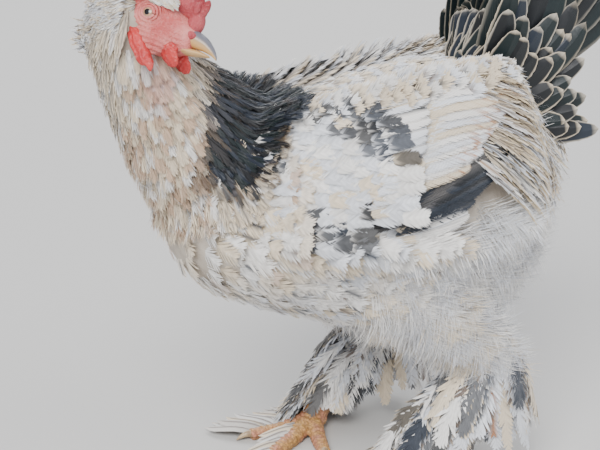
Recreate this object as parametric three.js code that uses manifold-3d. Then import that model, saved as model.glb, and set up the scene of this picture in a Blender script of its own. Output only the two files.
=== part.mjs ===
// A life-size Brahma cock, standing low on both feathered feet, with its head turned back over its left side.
// Millimetres. The body faces -X, its left side is -Y and the floor is z = 0.
import * as THREE from "three";
import Module from "manifold-3d";

const wasm = await Module();
wasm.setup();

const { Vector3 } = THREE;
const v = (x, y, z) => new Vector3(x, y, z);
const mix = THREE.MathUtils.lerp;
const rad = THREE.MathUtils.degToRad;

// Driving sizes.
const GAP = 0.3; // clearance between one piece and the next
const LEFT = 1; // side signs: the left side is -Y
const RIGHT = -1;

// The trunk: breast, back, flanks and rump fluff. Each row is a cross-section: its place along X, the height
// of its axis, its half width, and how far it reaches up and down from the axis.
const TRUNK = [
  { x: -113, axis: 222, side: 0, up: 0, down: 0 },
  { x: -106, axis: 222, side: 36, up: 38, down: 34 },
  { x: -86, axis: 222, side: 73, up: 62, down: 57 },
  { x: -48, axis: 221, side: 99, up: 78, down: 74 },
  { x: 0, axis: 219, side: 109, up: 89, down: 90 },
  { x: 50, axis: 217, side: 111, up: 97, down: 106 },
  { x: 95, axis: 217, side: 107, up: 105, down: 114 },
  { x: 135, axis: 219, side: 96, up: 104, down: 113 },
  { x: 168, axis: 221, side: 78, up: 84, down: 98 },
  { x: 192, axis: 222, side: 52, up: 54, down: 68 },
  { x: 206, axis: 222, side: 26, up: 28, down: 35 },
  { x: 211, axis: 222, side: 0, up: 0, down: 0 },
];
const TRUNK_RINGS = [-108, -94, -70, -36, 6, 50, 92, 128, 158, 184, 204];
const TRUNK_SIDES = 20;

// The neck: places of its axis from inside the trunk up to the crown, the radius of the coat there, and the
// compass heading of the throat, which winds round as the head turns back.
const NECK = [
  { at: v(-42, 0, 222), radius: 58, throat: 180 },
  { at: v(-76, -4, 268), radius: 56, throat: 190 },
  { at: v(-108, -15, 308), radius: 43, throat: 218 },
  { at: v(-130, -27, 342), radius: 35, throat: 250 },
  { at: v(-141, -36, 370), radius: 31, throat: 280 },
  { at: v(-141, -42, 393), radius: 22, throat: 300 },
];
const NECK_RINGS = [0, 0.14, 0.3, 0.46, 0.6, 0.73, 0.85, 0.95];
const NECK_SIDES = 14;
const NECK_TOP = v(-139, -45, 405);

// The head's own frame: the middle of the skull between the eyes, and its forward, up and right directions.
const SKULL = v(-124, -50, 379);
const FORWARD = v(0.604, -0.774, -0.193).normalize();
const UP = v(0.448, 0.129, 0.884).normalize();
const SIDE = new Vector3().crossVectors(FORWARD, UP);
const EYE_RADIUS = 6.2;
const EYE_SIDE = 13.2; // from the middle of the skull to the middle of the eyeball

// The legs, from the knee inside the flank to the hock and the foot joint.
const LEGS = {
  left: { side: LEFT, knee: v(48, -66, 172), hock: v(130, -74, 99), ankle: v(48, -62, 16), turn: 8 },
  right: { side: RIGHT, knee: v(46, 62, 168), hock: v(110, 64, 90), ankle: v(30, 46, 16), turn: -38 },
};
const SHANK_RADIUS = 9.5;
const ANKLE_HEIGHT = 16;

// Cubic interpolation of one column of a table of rows, by the value of another.
function column(rows, by, key) {
  const xs = rows.map((row) => row[by]);
  const ys = rows.map((row) => row[key]);
  const slopes = ys.map((_, i) => {
    if (i === 0 || i === ys.length - 1) return 0;
    const before = (ys[i] - ys[i - 1]) / (xs[i] - xs[i - 1]);
    const after = (ys[i + 1] - ys[i]) / (xs[i + 1] - xs[i]);
    return before * after <= 0 ? 0 : (2 * before * after) / (before + after);
  });
  slopes[0] = (2 * (ys[1] - ys[0])) / (xs[1] - xs[0]);
  const last = ys.length - 1;
  slopes[last] = (2 * (ys[last] - ys[last - 1])) / (xs[last] - xs[last - 1]);
  return (x) => {
    const i = Math.min(last - 1, Math.max(0, xs.findIndex((end) => x < end) - 1));
    const k = x >= xs[last] ? last - 1 : i;
    const span = xs[k + 1] - xs[k];
    const t = THREE.MathUtils.clamp((x - xs[k]) / span, 0, 1);
    const t2 = t * t;
    const t3 = t2 * t;
    return (
      (2 * t3 - 3 * t2 + 1) * ys[k] +
      (t3 - 2 * t2 + t) * span * slopes[k] +
      (3 * t2 - 2 * t3) * ys[k + 1] +
      (t3 - t2) * span * slopes[k + 1]
    );
  };
}

// A closed solid from its points and triangles, turned to face outwards.
function solid(points, faces) {
  const volume = faces.reduce(
    (sum, [a, b, c]) => sum + points[a].dot(new Vector3().crossVectors(points[b], points[c])),
    0,
  );
  const turned = volume < 0 ? faces.map(([a, b, c]) => [a, c, b]) : faces;
  return new wasm.Manifold(
    new wasm.Mesh({
      numProp: 3,
      vertProperties: Float32Array.from(points.flatMap((p) => [p.x, p.y, p.z])),
      triVerts: Uint32Array.from(turned.flat()),
    }),
  );
}

// A solid skinned over rings of equal length, closed by a point at each end. A thin sheet's second half of
// each ring is its other face, and takes the same diagonals as the first.
function loft(start, rings, end, sheet = false) {
  const n = rings[0].length;
  const points = [start, ...rings.flat(), end];
  const at = (ring, k) => 1 + ring * n + (k % n);
  const faces = [];
  for (let k = 0; k < n; k++) {
    faces.push([0, at(0, k + 1), at(0, k)]);
    faces.push([points.length - 1, at(rings.length - 1, k), at(rings.length - 1, k + 1)]);
    for (let i = 0; i < rings.length - 1; i++) {
      const [a, b, c, d] = [at(i, k), at(i, k + 1), at(i + 1, k + 1), at(i + 1, k)];
      if (sheet && k >= n / 2) faces.push([a, b, d], [b, c, d]);
      else faces.push([a, b, c], [a, c, d]);
    }
  }
  return solid(points, faces);
}

// Points round an ellipse in the plane of two directions.
function ring(centre, across, upward, sides, start = 0) {
  return Array.from({ length: sides }, (_, k) => {
    const angle = start + (2 * Math.PI * k) / sides;
    return centre
      .clone()
      .addScaledVector(across, Math.sin(angle))
      .addScaledVector(upward, Math.cos(angle));
  });
}

// Outline of a feather: its share of the full width at each place along it.
const ROUNDED = [0.6, 1, 0.98, 0.72];
const LANCE = [0.6, 1, 0.6];
const BLADE = [0.6, 1, 0.95, 0.7];

// A feather's vane as a thin closed blade along a path. Its tilt tucks one edge under the next vane.
function vane(path, outwards, { width, thick = 1, shape = ROUNDED, tilt = 0 }, grow = 0) {
  const curve = new THREE.CatmullRomCurve3(path, false, "centripetal");
  const last = path.length - 1;
  const rings = shape.map((share, i) => {
    const t = i / shape.length;
    const centre = curve.getPointAt(t);
    const along = curve.getTangentAt(t);
    const spot = t * last;
    const k = Math.min(last - 1, Math.floor(spot));
    const out = outwards[k].clone().lerp(outwards[k + 1], spot - k).applyAxisAngle(along, tilt);
    const across = new Vector3().crossVectors(along, out).normalize();
    const face = new Vector3().crossVectors(across, along).normalize();
    across.multiplyScalar((width * share) / 2 + grow);
    face.multiplyScalar(thick / 2 + grow);
    return [
      centre.clone().sub(across).add(face),
      centre.clone().add(across).add(face),
      centre.clone().add(across).sub(face),
      centre.clone().sub(across).sub(face),
    ];
  });
  // The swollen tip reaches further on, by as much as its point is slender.
  const end = curve.getPointAt(1);
  const point = end.clone().sub(curve.getPointAt(1 - 1 / shape.length));
  const slender = point.length() / ((width * shape[shape.length - 1]) / 2);
  const tip = end.clone().addScaledVector(point.normalize(), grow * (1 + slender));
  const root = curve.getPointAt(0).addScaledVector(curve.getTangentAt(0), -grow - 0.2);
  return loft(root, rings, tip, true);
}

// A ball squashed to three radii along three directions.
function pebble(centre, axes, radii, sides, rows, grow = 0) {
  const [a, b, c] = axes.map((axis, i) => axis.clone().multiplyScalar(radii[i] + grow));
  const rings = Array.from({ length: rows }, (_, i) => {
    const angle = (Math.PI * (i + 1)) / (rows + 1);
    return ring(
      centre.clone().addScaledVector(a, Math.cos(angle)),
      b.clone().multiplyScalar(Math.sin(angle)),
      c.clone().multiplyScalar(Math.sin(angle)),
      sides,
    );
  });
  return loft(centre.clone().add(a), rings, centre.clone().sub(a), false);
}

const trunk = {
  axis: column(TRUNK, "x", "axis"),
  side: column(TRUNK, "x", "side"),
  up: column(TRUNK, "x", "up"),
  down: column(TRUNK, "x", "down"),
};

// A point of the trunk's surface, by its place along X and the angle round it, from the back to the left.
function trunkSurface(x, angle) {
  const reach = Math.cos(angle) > 0 ? trunk.up(x) : trunk.down(x);
  return v(x, -trunk.side(x) * Math.sin(angle), trunk.axis(x) + reach * Math.cos(angle));
}

function trunkNormal(x, angle) {
  const along = trunkSurface(x + 1, angle).sub(trunkSurface(x - 1, angle));
  const round = trunkSurface(x, angle + 0.02).sub(trunkSurface(x, angle - 0.02));
  return new Vector3().crossVectors(round, along).normalize();
}

function trunkPoint(x, angle, out = 0) {
  return trunkSurface(x, angle).addScaledVector(trunkNormal(x, angle), out);
}

// The folded wing with its quills, as a thickness over the trunk that tapers to nothing at its edges.
const WING = { front: -66, back: 150, top: 30, low: 88, arm: 12, stack: 20 };
function wingThickness(x, angle) {
  const degrees = THREE.MathUtils.radToDeg(Math.abs(angle));
  const { smoothstep } = THREE.MathUtils;
  const ends = smoothstep(x, WING.front - 6, WING.front + 30) * (1 - smoothstep(x, WING.back, WING.back + 30));
  const top = smoothstep(degrees, WING.top - 22, WING.top);
  const foot = 1 - smoothstep(degrees, WING.low, WING.low + 20);
  return WING.stack * ends * top * foot;
}

// How far a point stands above the trunk, or above the wing that lies on it, and the way out there.
function above(point) {
  const x = THREE.MathUtils.clamp(point.x, TRUNK[0].x + 3, TRUNK[TRUNK.length - 1].x - 3);
  const lift = point.z - trunk.axis(x);
  const reach = lift > 0 ? trunk.up(x) : trunk.down(x);
  const angle = Math.atan2(-point.y / trunk.side(x), lift / reach);
  const out = trunkNormal(x, angle);
  const height = point.clone().sub(trunkSurface(x, angle)).dot(out) - wingThickness(x, angle);
  return { height, out };
}

// A path that sets off from a root and drapes over the trunk, never closer to it than its clearance.
function drape(root, heading, { length, clearance, steps = 5, weight = 0.25 }) {
  const path = [root.clone()];
  const outwards = [];
  const way = heading.clone().normalize();
  const step = length / steps;
  for (let i = 0; i < steps; i++) {
    const next = path[i].clone().addScaledVector(way, step);
    const { height, out } = above(next);
    const wanted = clearance * ((i + 1) / steps);
    next.addScaledVector(out, wanted - height);
    way.copy(next).sub(path[i]).normalize();
    outwards.push(out);
    way.add(v(0, 0, -weight)).normalize();
    path.push(next);
  }
  outwards.push(outwards[outwards.length - 1]);
  return { path, outwards };
}

const neckAxis = new THREE.CatmullRomCurve3(NECK.map((row) => row.at), false, "centripetal");
const neckRows = NECK.map((row, i) => ({ t: i / (NECK.length - 1), ...row }));
const neckRadius = column(neckRows, "t", "radius");
const neckThroat = column(neckRows, "t", "throat");

// A point of the neck's coat, by its share of the way up and the angle from the throat, positive to the left.
function neckFrame(t, angle) {
  const heading = rad(neckThroat(t)) + angle;
  const along = neckAxis.getTangent(t);
  const flat = v(Math.cos(heading), Math.sin(heading), 0);
  const out = flat.addScaledVector(along, -flat.dot(along)).normalize();
  return { centre: neckAxis.getPoint(t), out, along };
}

function neckPoint(t, angle, out = 0) {
  const frame = neckFrame(t, angle);
  return frame.centre.addScaledVector(frame.out, neckRadius(t) + out);
}

// A point in the head's own frame.
function headPoint(forward, up, side) {
  return SKULL.clone()
    .addScaledVector(FORWARD, forward)
    .addScaledVector(UP, up)
    .addScaledVector(SIDE, side);
}

// A seeded draw, so that each build is the same.
function seeded(seed) {
  let state = seed;
  return () => {
    state = (state * 1664525 + 1013904223) % 4294967296;
    return state / 4294967296;
  };
}

// TRUNK: the body and the saddle hackles that hang from the back over the wing tips.
function trunkBody(grow) {
  const turn = (x) => ring(v(0, 0, 0), v(1, 0, 0), v(0, 1, 0), TRUNK_SIDES).map((_, k) =>
    trunkPoint(x, (2 * Math.PI * k) / TRUNK_SIDES, grow),
  );
  const ends = [TRUNK[0].x - grow, TRUNK[TRUNK.length - 1].x + grow];
  const height = trunk.axis(TRUNK[0].x);
  return loft(v(ends[0], 0, height), TRUNK_RINGS.map(turn), v(ends[1], 0, height), false);
}

function saddleHackles(grow) {
  const draw = seeded(13);
  const rows = [
    { x: 94, degrees: [12, 27], length: 92, clearance: 2.5 },
    { x: 114, degrees: [14, 27], length: 94, clearance: 6 },
    { x: 134, degrees: [20, 36], length: 84, clearance: 10 },
    { x: 152, degrees: [32, 60], length: 68, clearance: 13 },
  ];
  return rows.flatMap(({ x, degrees, length, clearance }) =>
    [LEFT, RIGHT].flatMap((side) =>
      degrees.map((angle) => {
        const root = trunkPoint(x + 4 * draw(), side * rad(angle + 3 * draw()), -5);
        const heading = v(1, -side * (0.1 + angle / 60), -0.1 - angle / 110);
        const { path, outwards } = drape(root, heading, { length: length + 14 * draw(), clearance });
        return vane(path, outwards, { width: 21, shape: LANCE, tilt: side * 0.06 }, grow);
      }),
    ),
  );
}

// NECK: the coat's core and its hackles, tier over tier, the lowest of them a cape over the shoulders.
function neckCore(grow) {
  const rings = NECK_RINGS.map((t) =>
    Array.from({ length: NECK_SIDES }, (_, k) => neckPoint(t, (2 * Math.PI * k) / NECK_SIDES, grow)),
  );
  const base = neckAxis.getPoint(0).addScaledVector(neckAxis.getTangent(0), -8 - grow);
  return loft(base, rings, NECK_TOP.clone().add(v(0, 0, grow)), false);
}

function neckHackles(grow) {
  const draw = seeded(5);
  const tiers = [
    { t: 0.26, count: 9, length: 78, width: 30, clear: 2 },
    { t: 0.42, count: 8, length: 76, width: 29, clear: 10 },
    { t: 0.57, count: 7, length: 60, width: 27, clear: 0 },
    { t: 0.71, count: 6, length: 48, width: 24, clear: 0 },
    { t: 0.84, count: 5, length: 38, width: 21, clear: 0 },
  ];
  return tiers.flatMap(({ t, count, length, width, clear }, tier) =>
    Array.from({ length: count }, (_, k) => {
      const share = (k + 0.5 + 0.3 * (draw() - 0.5) + 0.5 * (tier % 2)) / (count + 0.5);
      const angle = mix(rad(42), rad(318), share);
      const frame = neckFrame(t, angle);
      const root = neckPoint(t, angle, -5);
      if (clear) {
        const heading = frame.along.clone().multiplyScalar(-1).addScaledVector(frame.out, 0.42);
        const { path, outwards } = drape(root, heading, { length, clearance: clear, weight: 0.1 });
        return vane(path, outwards.map((out) => out.clone().add(frame.out)), { width, shape: LANCE }, grow);
      }
      const drop = length / neckAxis.getLength();
      const steps = [0, 0.34, 0.67, 1];
      const path = steps.map((s) => neckPoint(t - drop * s, angle, mix(-4, 6, s)));
      const outwards = steps.map((s) => neckFrame(t - drop * s, angle).out);
      return vane(path, outwards, { width, shape: LANCE }, grow);
    }),
  );
}

// HEAD: the skull with its bare face, brow and lids.
const HEAD = [
  { f: -30, side: 13, up: 13, axis: -1 },
  { f: -20, side: 17.5, up: 18, axis: -2 },
  { f: -6, side: 18.5, up: 20, axis: -3.5 },
  { f: 8, side: 17, up: 19.5, axis: -5 },
  { f: 19, side: 13, up: 15, axis: -6.5 },
  { f: 27, side: 9.5, up: 11, axis: -7.5 },
  { f: 32, side: 7, up: 8, axis: -8 },
];
function headBody(grow) {
  const across = (row) => SIDE.clone().multiplyScalar(row.side + grow);
  const upward = (row) => UP.clone().multiplyScalar(row.up + grow);
  const rings = HEAD.map((row) => ring(headPoint(row.f, row.axis, 0), across(row), upward(row), 14));
  const lids = [LEFT, RIGHT].map((side) => {
    const radii = [3.6, EYE_RADIUS + 2.6, EYE_RADIUS + 1.8];
    return pebble(headPoint(0, 0, -side * (EYE_SIDE + 2.6)), [SIDE, FORWARD, UP], radii, 12, 3, grow);
  });
  const ridges = [LEFT, RIGHT].map((side) =>
    pebble(headPoint(4, 9.5, -side * 12.5), [FORWARD, SIDE, UP], [13, 4, 4], 6, 3, grow),
  );
  const cheeks = [LEFT, RIGHT].map((side) =>
    pebble(headPoint(6, -14, -side * 11), [FORWARD, SIDE, UP], [16, 7.5, 12], 8, 3, grow),
  );
  const skull = loft(headPoint(-34 - grow, 0, 0), rings, headPoint(33 + grow, -8, 0));
  return [skull, ...lids, ...ridges, ...cheeks];
}

function eye(side, grow) {
  const radii = [EYE_RADIUS, EYE_RADIUS, EYE_RADIUS];
  return pebble(headPoint(0, 0, -side * EYE_SIDE), [SIDE, FORWARD, UP], radii, 10, 4, grow);
}

// The beak's two halves, with the line of the mouth between them.
const BEAK_UPPER = [
  { f: 24, side: 7.5, top: -1, low: -12 },
  { f: 32, side: 7, top: 0.5, low: -11.6 },
  { f: 40, side: 5.4, top: -1.5, low: -11.4 },
  { f: 47, side: 3.4, top: -6, low: -12.2 },
  { f: 51, side: 1.7, top: -10, low: -13.6 },
];
const BEAK_LOWER = [
  { f: 22, side: 6.8, top: -12.4, low: -18 },
  { f: 31, side: 6, top: -12, low: -17.4 },
  { f: 39, side: 4.6, top: -11.8, low: -15.8 },
  { f: 45, side: 2.8, top: -12.6, low: -14.6 },
];
function beakHalf(rows, tip, grow) {
  const rings = rows.map((row) =>
    ring(
      headPoint(row.f, (row.top + row.low) / 2, 0),
      SIDE.clone().multiplyScalar(row.side + grow),
      UP.clone().multiplyScalar((row.top - row.low) / 2 + grow),
      10,
    ),
  );
  return loft(headPoint(rows[0].f - 1 - grow, (rows[0].top + rows[0].low) / 2, 0), rings, tip);
}
const beakUpper = (grow) => beakHalf(BEAK_UPPER, headPoint(53 + grow, -14.2, 0), grow);
const beakLower = (grow) => beakHalf(BEAK_LOWER, headPoint(47.5 + grow, -13.6, 0), grow);
const nostrils = () =>
  [LEFT, RIGHT].map((side) =>
    pebble(headPoint(35, -5.2, -side * 6.6), [FORWARD, SIDE, UP], [2.6, 1.6, 0.9], 6, 3),
  );

// The pea comb: a low block with three rows of small knobs, the middle row the highest.
function comb(grow) {
  const rows = [
    { side: 0, from: 31, to: -9, base: 7, top: 9.5, arch: 9.5, knobs: 5, size: 5 },
    { side: 5.6, from: 28, to: -5, base: 5.5, top: 6.5, arch: 8.5, knobs: 4, size: 4.2 },
    { side: -5.6, from: 28, to: -5, base: 5.5, top: 6.5, arch: 8.5, knobs: 4, size: 4.2 },
  ];
  const core = pebble(headPoint(12, 13.5, 0), [FORWARD, SIDE, UP], [21, 8, 8.5], 10, 5, grow);
  const front = pebble(headPoint(28, 5, 0), [UP, SIDE, FORWARD], [9, 6.4, 6], 8, 3, grow);
  const knobs = rows.flatMap((row) =>
    Array.from({ length: row.knobs }, (_, k) => {
      const share = k / (row.knobs - 1);
      const rise = row.top + row.arch * Math.sin(Math.PI * Math.min(1, 0.25 + share * 0.72));
      const centre = headPoint(mix(row.from, row.to, share), rise + 1, row.side);
      return pebble(centre, [UP, SIDE, FORWARD], [row.size, row.size * 0.8, row.size * 0.82], 6, 2, grow);
    }),
  );
  return [core, front, ...knobs];
}

function wattle(side, grow) {
  const axes = [v(0.12, -0.02, -1).normalize(), FORWARD, SIDE];
  const hang = pebble(headPoint(23, -22, -side * 9.5), axes, [8.5, 7.4, 3], 10, 4, grow);
  const root = pebble(headPoint(21, -16.5, -side * 8), axes, [5, 6, 2.8], 8, 3, grow);
  return [hang, root];
}

function earlobe(side, grow) {
  const along = FORWARD.clone().multiplyScalar(0.62).addScaledVector(UP, -0.62).normalize();
  const across = new Vector3().crossVectors(along, SIDE).normalize();
  const out = -side * 16.5;
  return [
    pebble(headPoint(1, -23, out), [along, across, SIDE], [17, 5.2, 4.6], 10, 5, grow),
    pebble(headPoint(9, -28, out * 0.86), [along, across, SIDE], [12, 3.6, 3.6], 8, 3, grow),
  ];
}

// WING: the folded arm lies on the flank, and its quills are tiled behind it, tier over tier.
function wingArm(side, grow) {
  const xs = [-60, -46, -26, 0, 28, 54, 76, 90];
  const angles = [34, 44, 56, 68, 79, 87];
  const outer = (x, degrees, share) => {
    const slope = 1 - THREE.MathUtils.smoothstep(x, 50, 92);
    const edge = Math.sin(Math.PI * mix(0.12, 0.88, share)) ** 0.4;
    const front = THREE.MathUtils.smoothstep(x, WING.front - 16, -6);
    const thick = WING.arm * (0.12 + 0.78 * slope) * edge * (0.2 + 0.8 * front);
    return trunkPoint(x, side * rad(degrees), thick + grow);
  };
  const rise = (x) => -0.07 * (x + 60);
  const rings = xs.map((x) => {
    const wide = angles.map((degrees) => degrees + rise(x) + grow * Math.sign(degrees - 60));
    const top = wide.map((degrees, i) => outer(x, degrees, i / (angles.length - 1)));
    const under = wide.toReversed().map((degrees) => trunkPoint(x, side * rad(degrees), -5));
    return [...top, ...under];
  });
  const end = (x) => trunkPoint(x, side * rad(60 + rise(x)), -2);
  return loft(end(xs[0] - 5 - grow), rings, end(xs[xs.length - 1] + 4 + grow));
}

// A quill that lies on the flank between two places, each given as X, degrees round the trunk and height.
function flankQuill(side, from, to, lift, form, grow) {
  const steps = [0, 0.3, 0.65, 1];
  const spots = steps.map((s) => ({
    x: mix(from[0], to[0], s),
    angle: side * rad(mix(from[1], to[1], s)),
    out: mix(from[2], lift, Math.min(1, 2.6 * s)),
  }));
  const path = spots.map(({ x, angle, out }) => trunkPoint(x, angle, out));
  const outwards = spots.map(({ x, angle }) => trunkNormal(x, angle));
  return vane(path, outwards, form, grow);
}

function wingQuills(side, grow) {
  const rows = [
    // Black primaries, mostly hidden, then the pale secondaries over them and the greater coverts over those.
    { count: 3, from: [40, 85, -2], to: [126, 80, 13, -6], lift: [2.4, 1.5], width: 27 },
    { count: 5, from: [34, 74, -7.8], to: [108, 72, 11, -8.6], lift: [7.6, 1.6], width: 32 },
    { count: 5, from: [6, 82, -10], to: [58, 79, 4, -9.6], lift: [16.4, 0.1], width: 30 },
  ];
  return rows.flatMap(({ count, from, to, lift, width }, row) =>
    Array.from({ length: count }, (_, k) =>
      flankQuill(
        side,
        [from[0] + 3 * k, from[1] + from[2] * k, 1.5 + 2.5 * row],
        [to[0] + to[2] * k, to[1] + to[3] * k],
        lift[0] + lift[1] * k,
        { width, tilt: side * 0.09 },
        grow,
      ),
    ),
  );
}

// TAIL: a short stump, the main feathers in two fans like a steep roof, sickles, and rows of rounded coverts.
const TAIL_ROOT = v(158, 0, 306);
function tailVane(root, lift, spread, length, bend, side, form, grow) {
  const heading = v(
    Math.cos(rad(lift)) * Math.cos(rad(spread)),
    -side * Math.sin(rad(spread)),
    Math.sin(rad(lift)) * Math.cos(rad(spread)),
  );
  const out = v(-0.25 * Math.sin(rad(lift)), -side, 0.25 * Math.cos(rad(lift))).normalize();
  const droop = new Vector3().crossVectors(out, heading).normalize().multiplyScalar(side);
  const steps = [0, 0.34, 0.67, 1];
  const path = steps.map((s) =>
    root
      .clone()
      .addScaledVector(heading, length * s * (1 - 0.18 * bend * s * s))
      .addScaledVector(droop, length * bend * 0.5 * s * s),
  );
  return vane(path, steps.map(() => out), form, grow);
}

function tailFeathers(grow) {
  const draw = seeded(23);
  const vanes = [];
  for (const side of [LEFT, RIGHT]) {
    for (let k = 0; k < 6; k++) {
      const root = TAIL_ROOT.clone().add(v(4 - 3 * k, -side * (4 + 3.2 * k), -6 + 2.5 * k));
      const form = { width: 34, shape: BLADE };
      vanes.push(tailVane(root, 22 + 10.5 * k, 4 + 1.4 * k, 122 + 3.5 * k, 0.12, side, form, grow));
    }
    for (let k = 0; k < 3; k++) {
      const root = TAIL_ROOT.clone().add(v(-10 + 3 * k, -side * (17 + 1.6 * k), 2 - 5 * k));
      const form = { width: 24, shape: BLADE };
      vanes.push(tailVane(root, 66 - 26 * k, 12 + 4 * k, 118 - 11 * k, 0.75, side, form, grow));
    }
    for (const [row, count] of [4, 3].entries()) {
      for (let k = 0; k < count; k++) {
        const root = TAIL_ROOT.clone().add(v(-16 + 5 * k, -side * (26 + 5 * row + 0.8 * k), 2 - 9 * k));
        const form = { width: 27 };
        const lift = 60 - 24 * k + 4 * draw();
        vanes.push(tailVane(root, lift, 18 + 6 * row, 74 - 16 * row, 0.35, side, form, grow));
      }
    }
  }
  return vanes;
}

function tailStump(grow) {
  return pebble(v(158, 0, 300), [v(0.7, 0, 0.7), v(0, 1, 0), v(-0.7, 0, 0.7)], [36, 33, 40], 12, 5, grow);
}

// THIGH: the fluffed drumstick, and the stiff hock feathers that hang behind the shank.
function thighBody(leg, grow) {
  const line = new THREE.LineCurve3(leg.knee, leg.hock);
  const along = line.getTangent(0);
  const across = new Vector3().crossVectors(along, v(0, 1, 0)).normalize();
  const flat = new Vector3().crossVectors(along, across).normalize();
  const rows = [
    { t: -0.1, deep: 46, wide: 34 },
    { t: 0.25, deep: 50, wide: 40 },
    { t: 0.6, deep: 43, wide: 36 },
    { t: 0.9, deep: 31, wide: 27 },
    { t: 1.08, deep: 21, wide: 19 },
  ];
  const rings = rows.map(({ t, deep, wide }) =>
    ring(
      leg.knee.clone().lerp(leg.hock, t),
      flat.clone().multiplyScalar(wide + grow),
      across.clone().multiplyScalar(deep + grow),
      16,
    ),
  );
  const end = (t, extra) => leg.knee.clone().lerp(leg.hock, t).addScaledVector(along, extra);
  return loft(end(-0.1, -12 - grow), rings, end(1.08, 7 + grow));
}

function hockFeathers(leg, grow) {
  const draw = seeded(31);
  return Array.from({ length: 6 }, (_, k) => {
    const share = k / 5;
    const turn = rad(mix(-80, 80, share));
    const out = v(Math.cos(turn), -leg.side * Math.sin(turn) * 0.9 - leg.side * 0.25, 0).normalize();
    const root = leg.hock.clone().add(v(-4, 0, 4)).addScaledVector(out, 12);
    const reach = 62 + 10 * draw();
    const steps = [0, 0.3, 0.65, 1];
    const path = steps.map((s) =>
      root
        .clone()
        .addScaledVector(out, reach * (0.5 * s - 0.16 * s * s))
        .add(v(0.1 * reach * s, 0, -reach * (0.45 * s + 0.55 * s * s))),
    );
    return vane(path, steps.map(() => out), { width: 25, shape: LANCE }, grow);
  });
}

// SHANK: the scaled leg, with feathers all down its outer side.
function shankBody(leg, grow) {
  const along = leg.ankle.clone().sub(leg.hock).normalize();
  const across = new Vector3().crossVectors(along, v(0, 1, 0)).normalize();
  const flat = new Vector3().crossVectors(along, across).normalize();
  const rows = [
    [-0.06, 1.25],
    [0.08, 1.2],
    [0.3, 1],
    [0.62, 0.98],
    [0.84, 1.05],
    [0.91, 1.1],
  ];
  const rings = rows.map(([t, share]) =>
    ring(
      leg.hock.clone().lerp(leg.ankle, t),
      flat.clone().multiplyScalar(SHANK_RADIUS * share * 0.9 + grow),
      across.clone().multiplyScalar(SHANK_RADIUS * share * 1.08 + grow),
      10,
    ),
  );
  const start = leg.hock.clone().lerp(leg.ankle, -0.1).addScaledVector(along, -grow);
  return loft(start, rings, leg.hock.clone().lerp(leg.ankle, 0.93).addScaledVector(along, grow));
}

function shankFeathers(leg, grow) {
  const draw = seeded(41);
  const vanes = [];
  for (let row = 0; row < 4; row++) {
    for (let k = 0; k < 2; k++) {
      const t = 0.2 + 0.19 * row + 0.05 * k;
      const turn = rad(mix(-48, 26, k) + 10 * draw());
      const out = v(-Math.sin(turn) * 0.7, -leg.side * Math.cos(turn), 0.1).normalize();
      const root = leg.hock.clone().lerp(leg.ankle, t).addScaledVector(out, 4);
      const length = mix(56, 44, row / 3);
      const floor = 2.5 + 1.2 * k;
      const steps = [0, 0.35, 0.7, 1];
      const path = steps.map((s) => {
        const p = root
          .clone()
          .addScaledVector(out, length * (0.85 * s - 0.3 * s * s))
          .add(v(-0.28 * length * s, 0, -length * (0.25 * s + 0.42 * s * s)));
        return p.setZ(Math.max(p.z, floor + 1.5 * (1 - s)));
      });
      const face = out.clone().add(v(0, 0, 0.9)).normalize();
      vanes.push(vane(path, steps.map(() => face), { width: 25 }, grow));
    }
  }
  return vanes;
}

// FOOT: four toes with pads and scutes, flat where they stand, and the feathers of the outer and middle toes.
const TOES = [
  { name: "inner", turn: -40, length: 50, radius: 7.4, claw: 13 },
  { name: "middle", turn: 0, length: 64, radius: 8, claw: 14 },
  { name: "outer", turn: 38, length: 52, radius: 7.4, claw: 13 },
  { name: "hind", turn: 162, length: 27, radius: 6.6, claw: 12 },
];
const toeHeading = (leg, toe) => {
  const angle = rad(180 + leg.side * (toe.turn + leg.turn));
  return v(Math.cos(angle), Math.sin(angle), 0);
};
function toeLine(leg, toe) {
  const heading = toeHeading(leg, toe);
  return (s) =>
    leg.ankle
      .clone()
      .setZ(0)
      .addScaledVector(heading, 4 + toe.length * s)
      .setZ(mix(ANKLE_HEIGHT - 6, toe.radius * 0.45, Math.min(1, s * 2.2)));
}
function toeBody(leg, toe, grow) {
  const line = toeLine(leg, toe);
  const heading = toeHeading(leg, toe);
  const across = v(-heading.y, heading.x, 0);
  const scutes = 5;
  const rings = Array.from({ length: scutes }, (_, i) => {
    const s = i / (scutes - 1);
    const radius = toe.radius * mix(1.05, 0.74, s) * (i % 2 ? 1 : 0.92) + grow;
    return ring(line(s), across.clone().multiplyScalar(radius), v(0, 0, radius * 0.92), 8, Math.PI / 8);
  });
  return loft(line(-0.08), rings, line(1).addScaledVector(heading, 3 + grow));
}
// The joint that the toes grow from, with the pad under it.
function footPad(leg, grow) {
  const axes = [v(0, 0, 1), v(1, 0, 0), v(0, 1, 0)];
  return pebble(leg.ankle.clone().setZ(8.5), axes, [9.5, 13, 11.5], 10, 4, grow);
}

function claw(leg, toe, grow) {
  const heading = toeHeading(leg, toe);
  const across = v(-heading.y, heading.x, 0);
  const base = toeLine(leg, toe)(1).add(v(0, 0, 1.2));
  const rings = [
    [-1, 0, 3.4],
    [4.5, 0.4, 2.9],
    [9, -1.2, 1.8],
  ].map(([reach, lift, radius]) => {
    const centre = base.clone().addScaledVector(heading, reach).add(v(0, 0, lift));
    return ring(centre, across.clone().multiplyScalar(radius * 0.8 + grow), v(0, 0, radius + grow), 6);
  });
  const tip = base.clone().addScaledVector(heading, toe.claw + grow).setZ(1);
  return loft(base.clone().addScaledVector(heading, -2 - grow), rings, tip);
}

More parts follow.
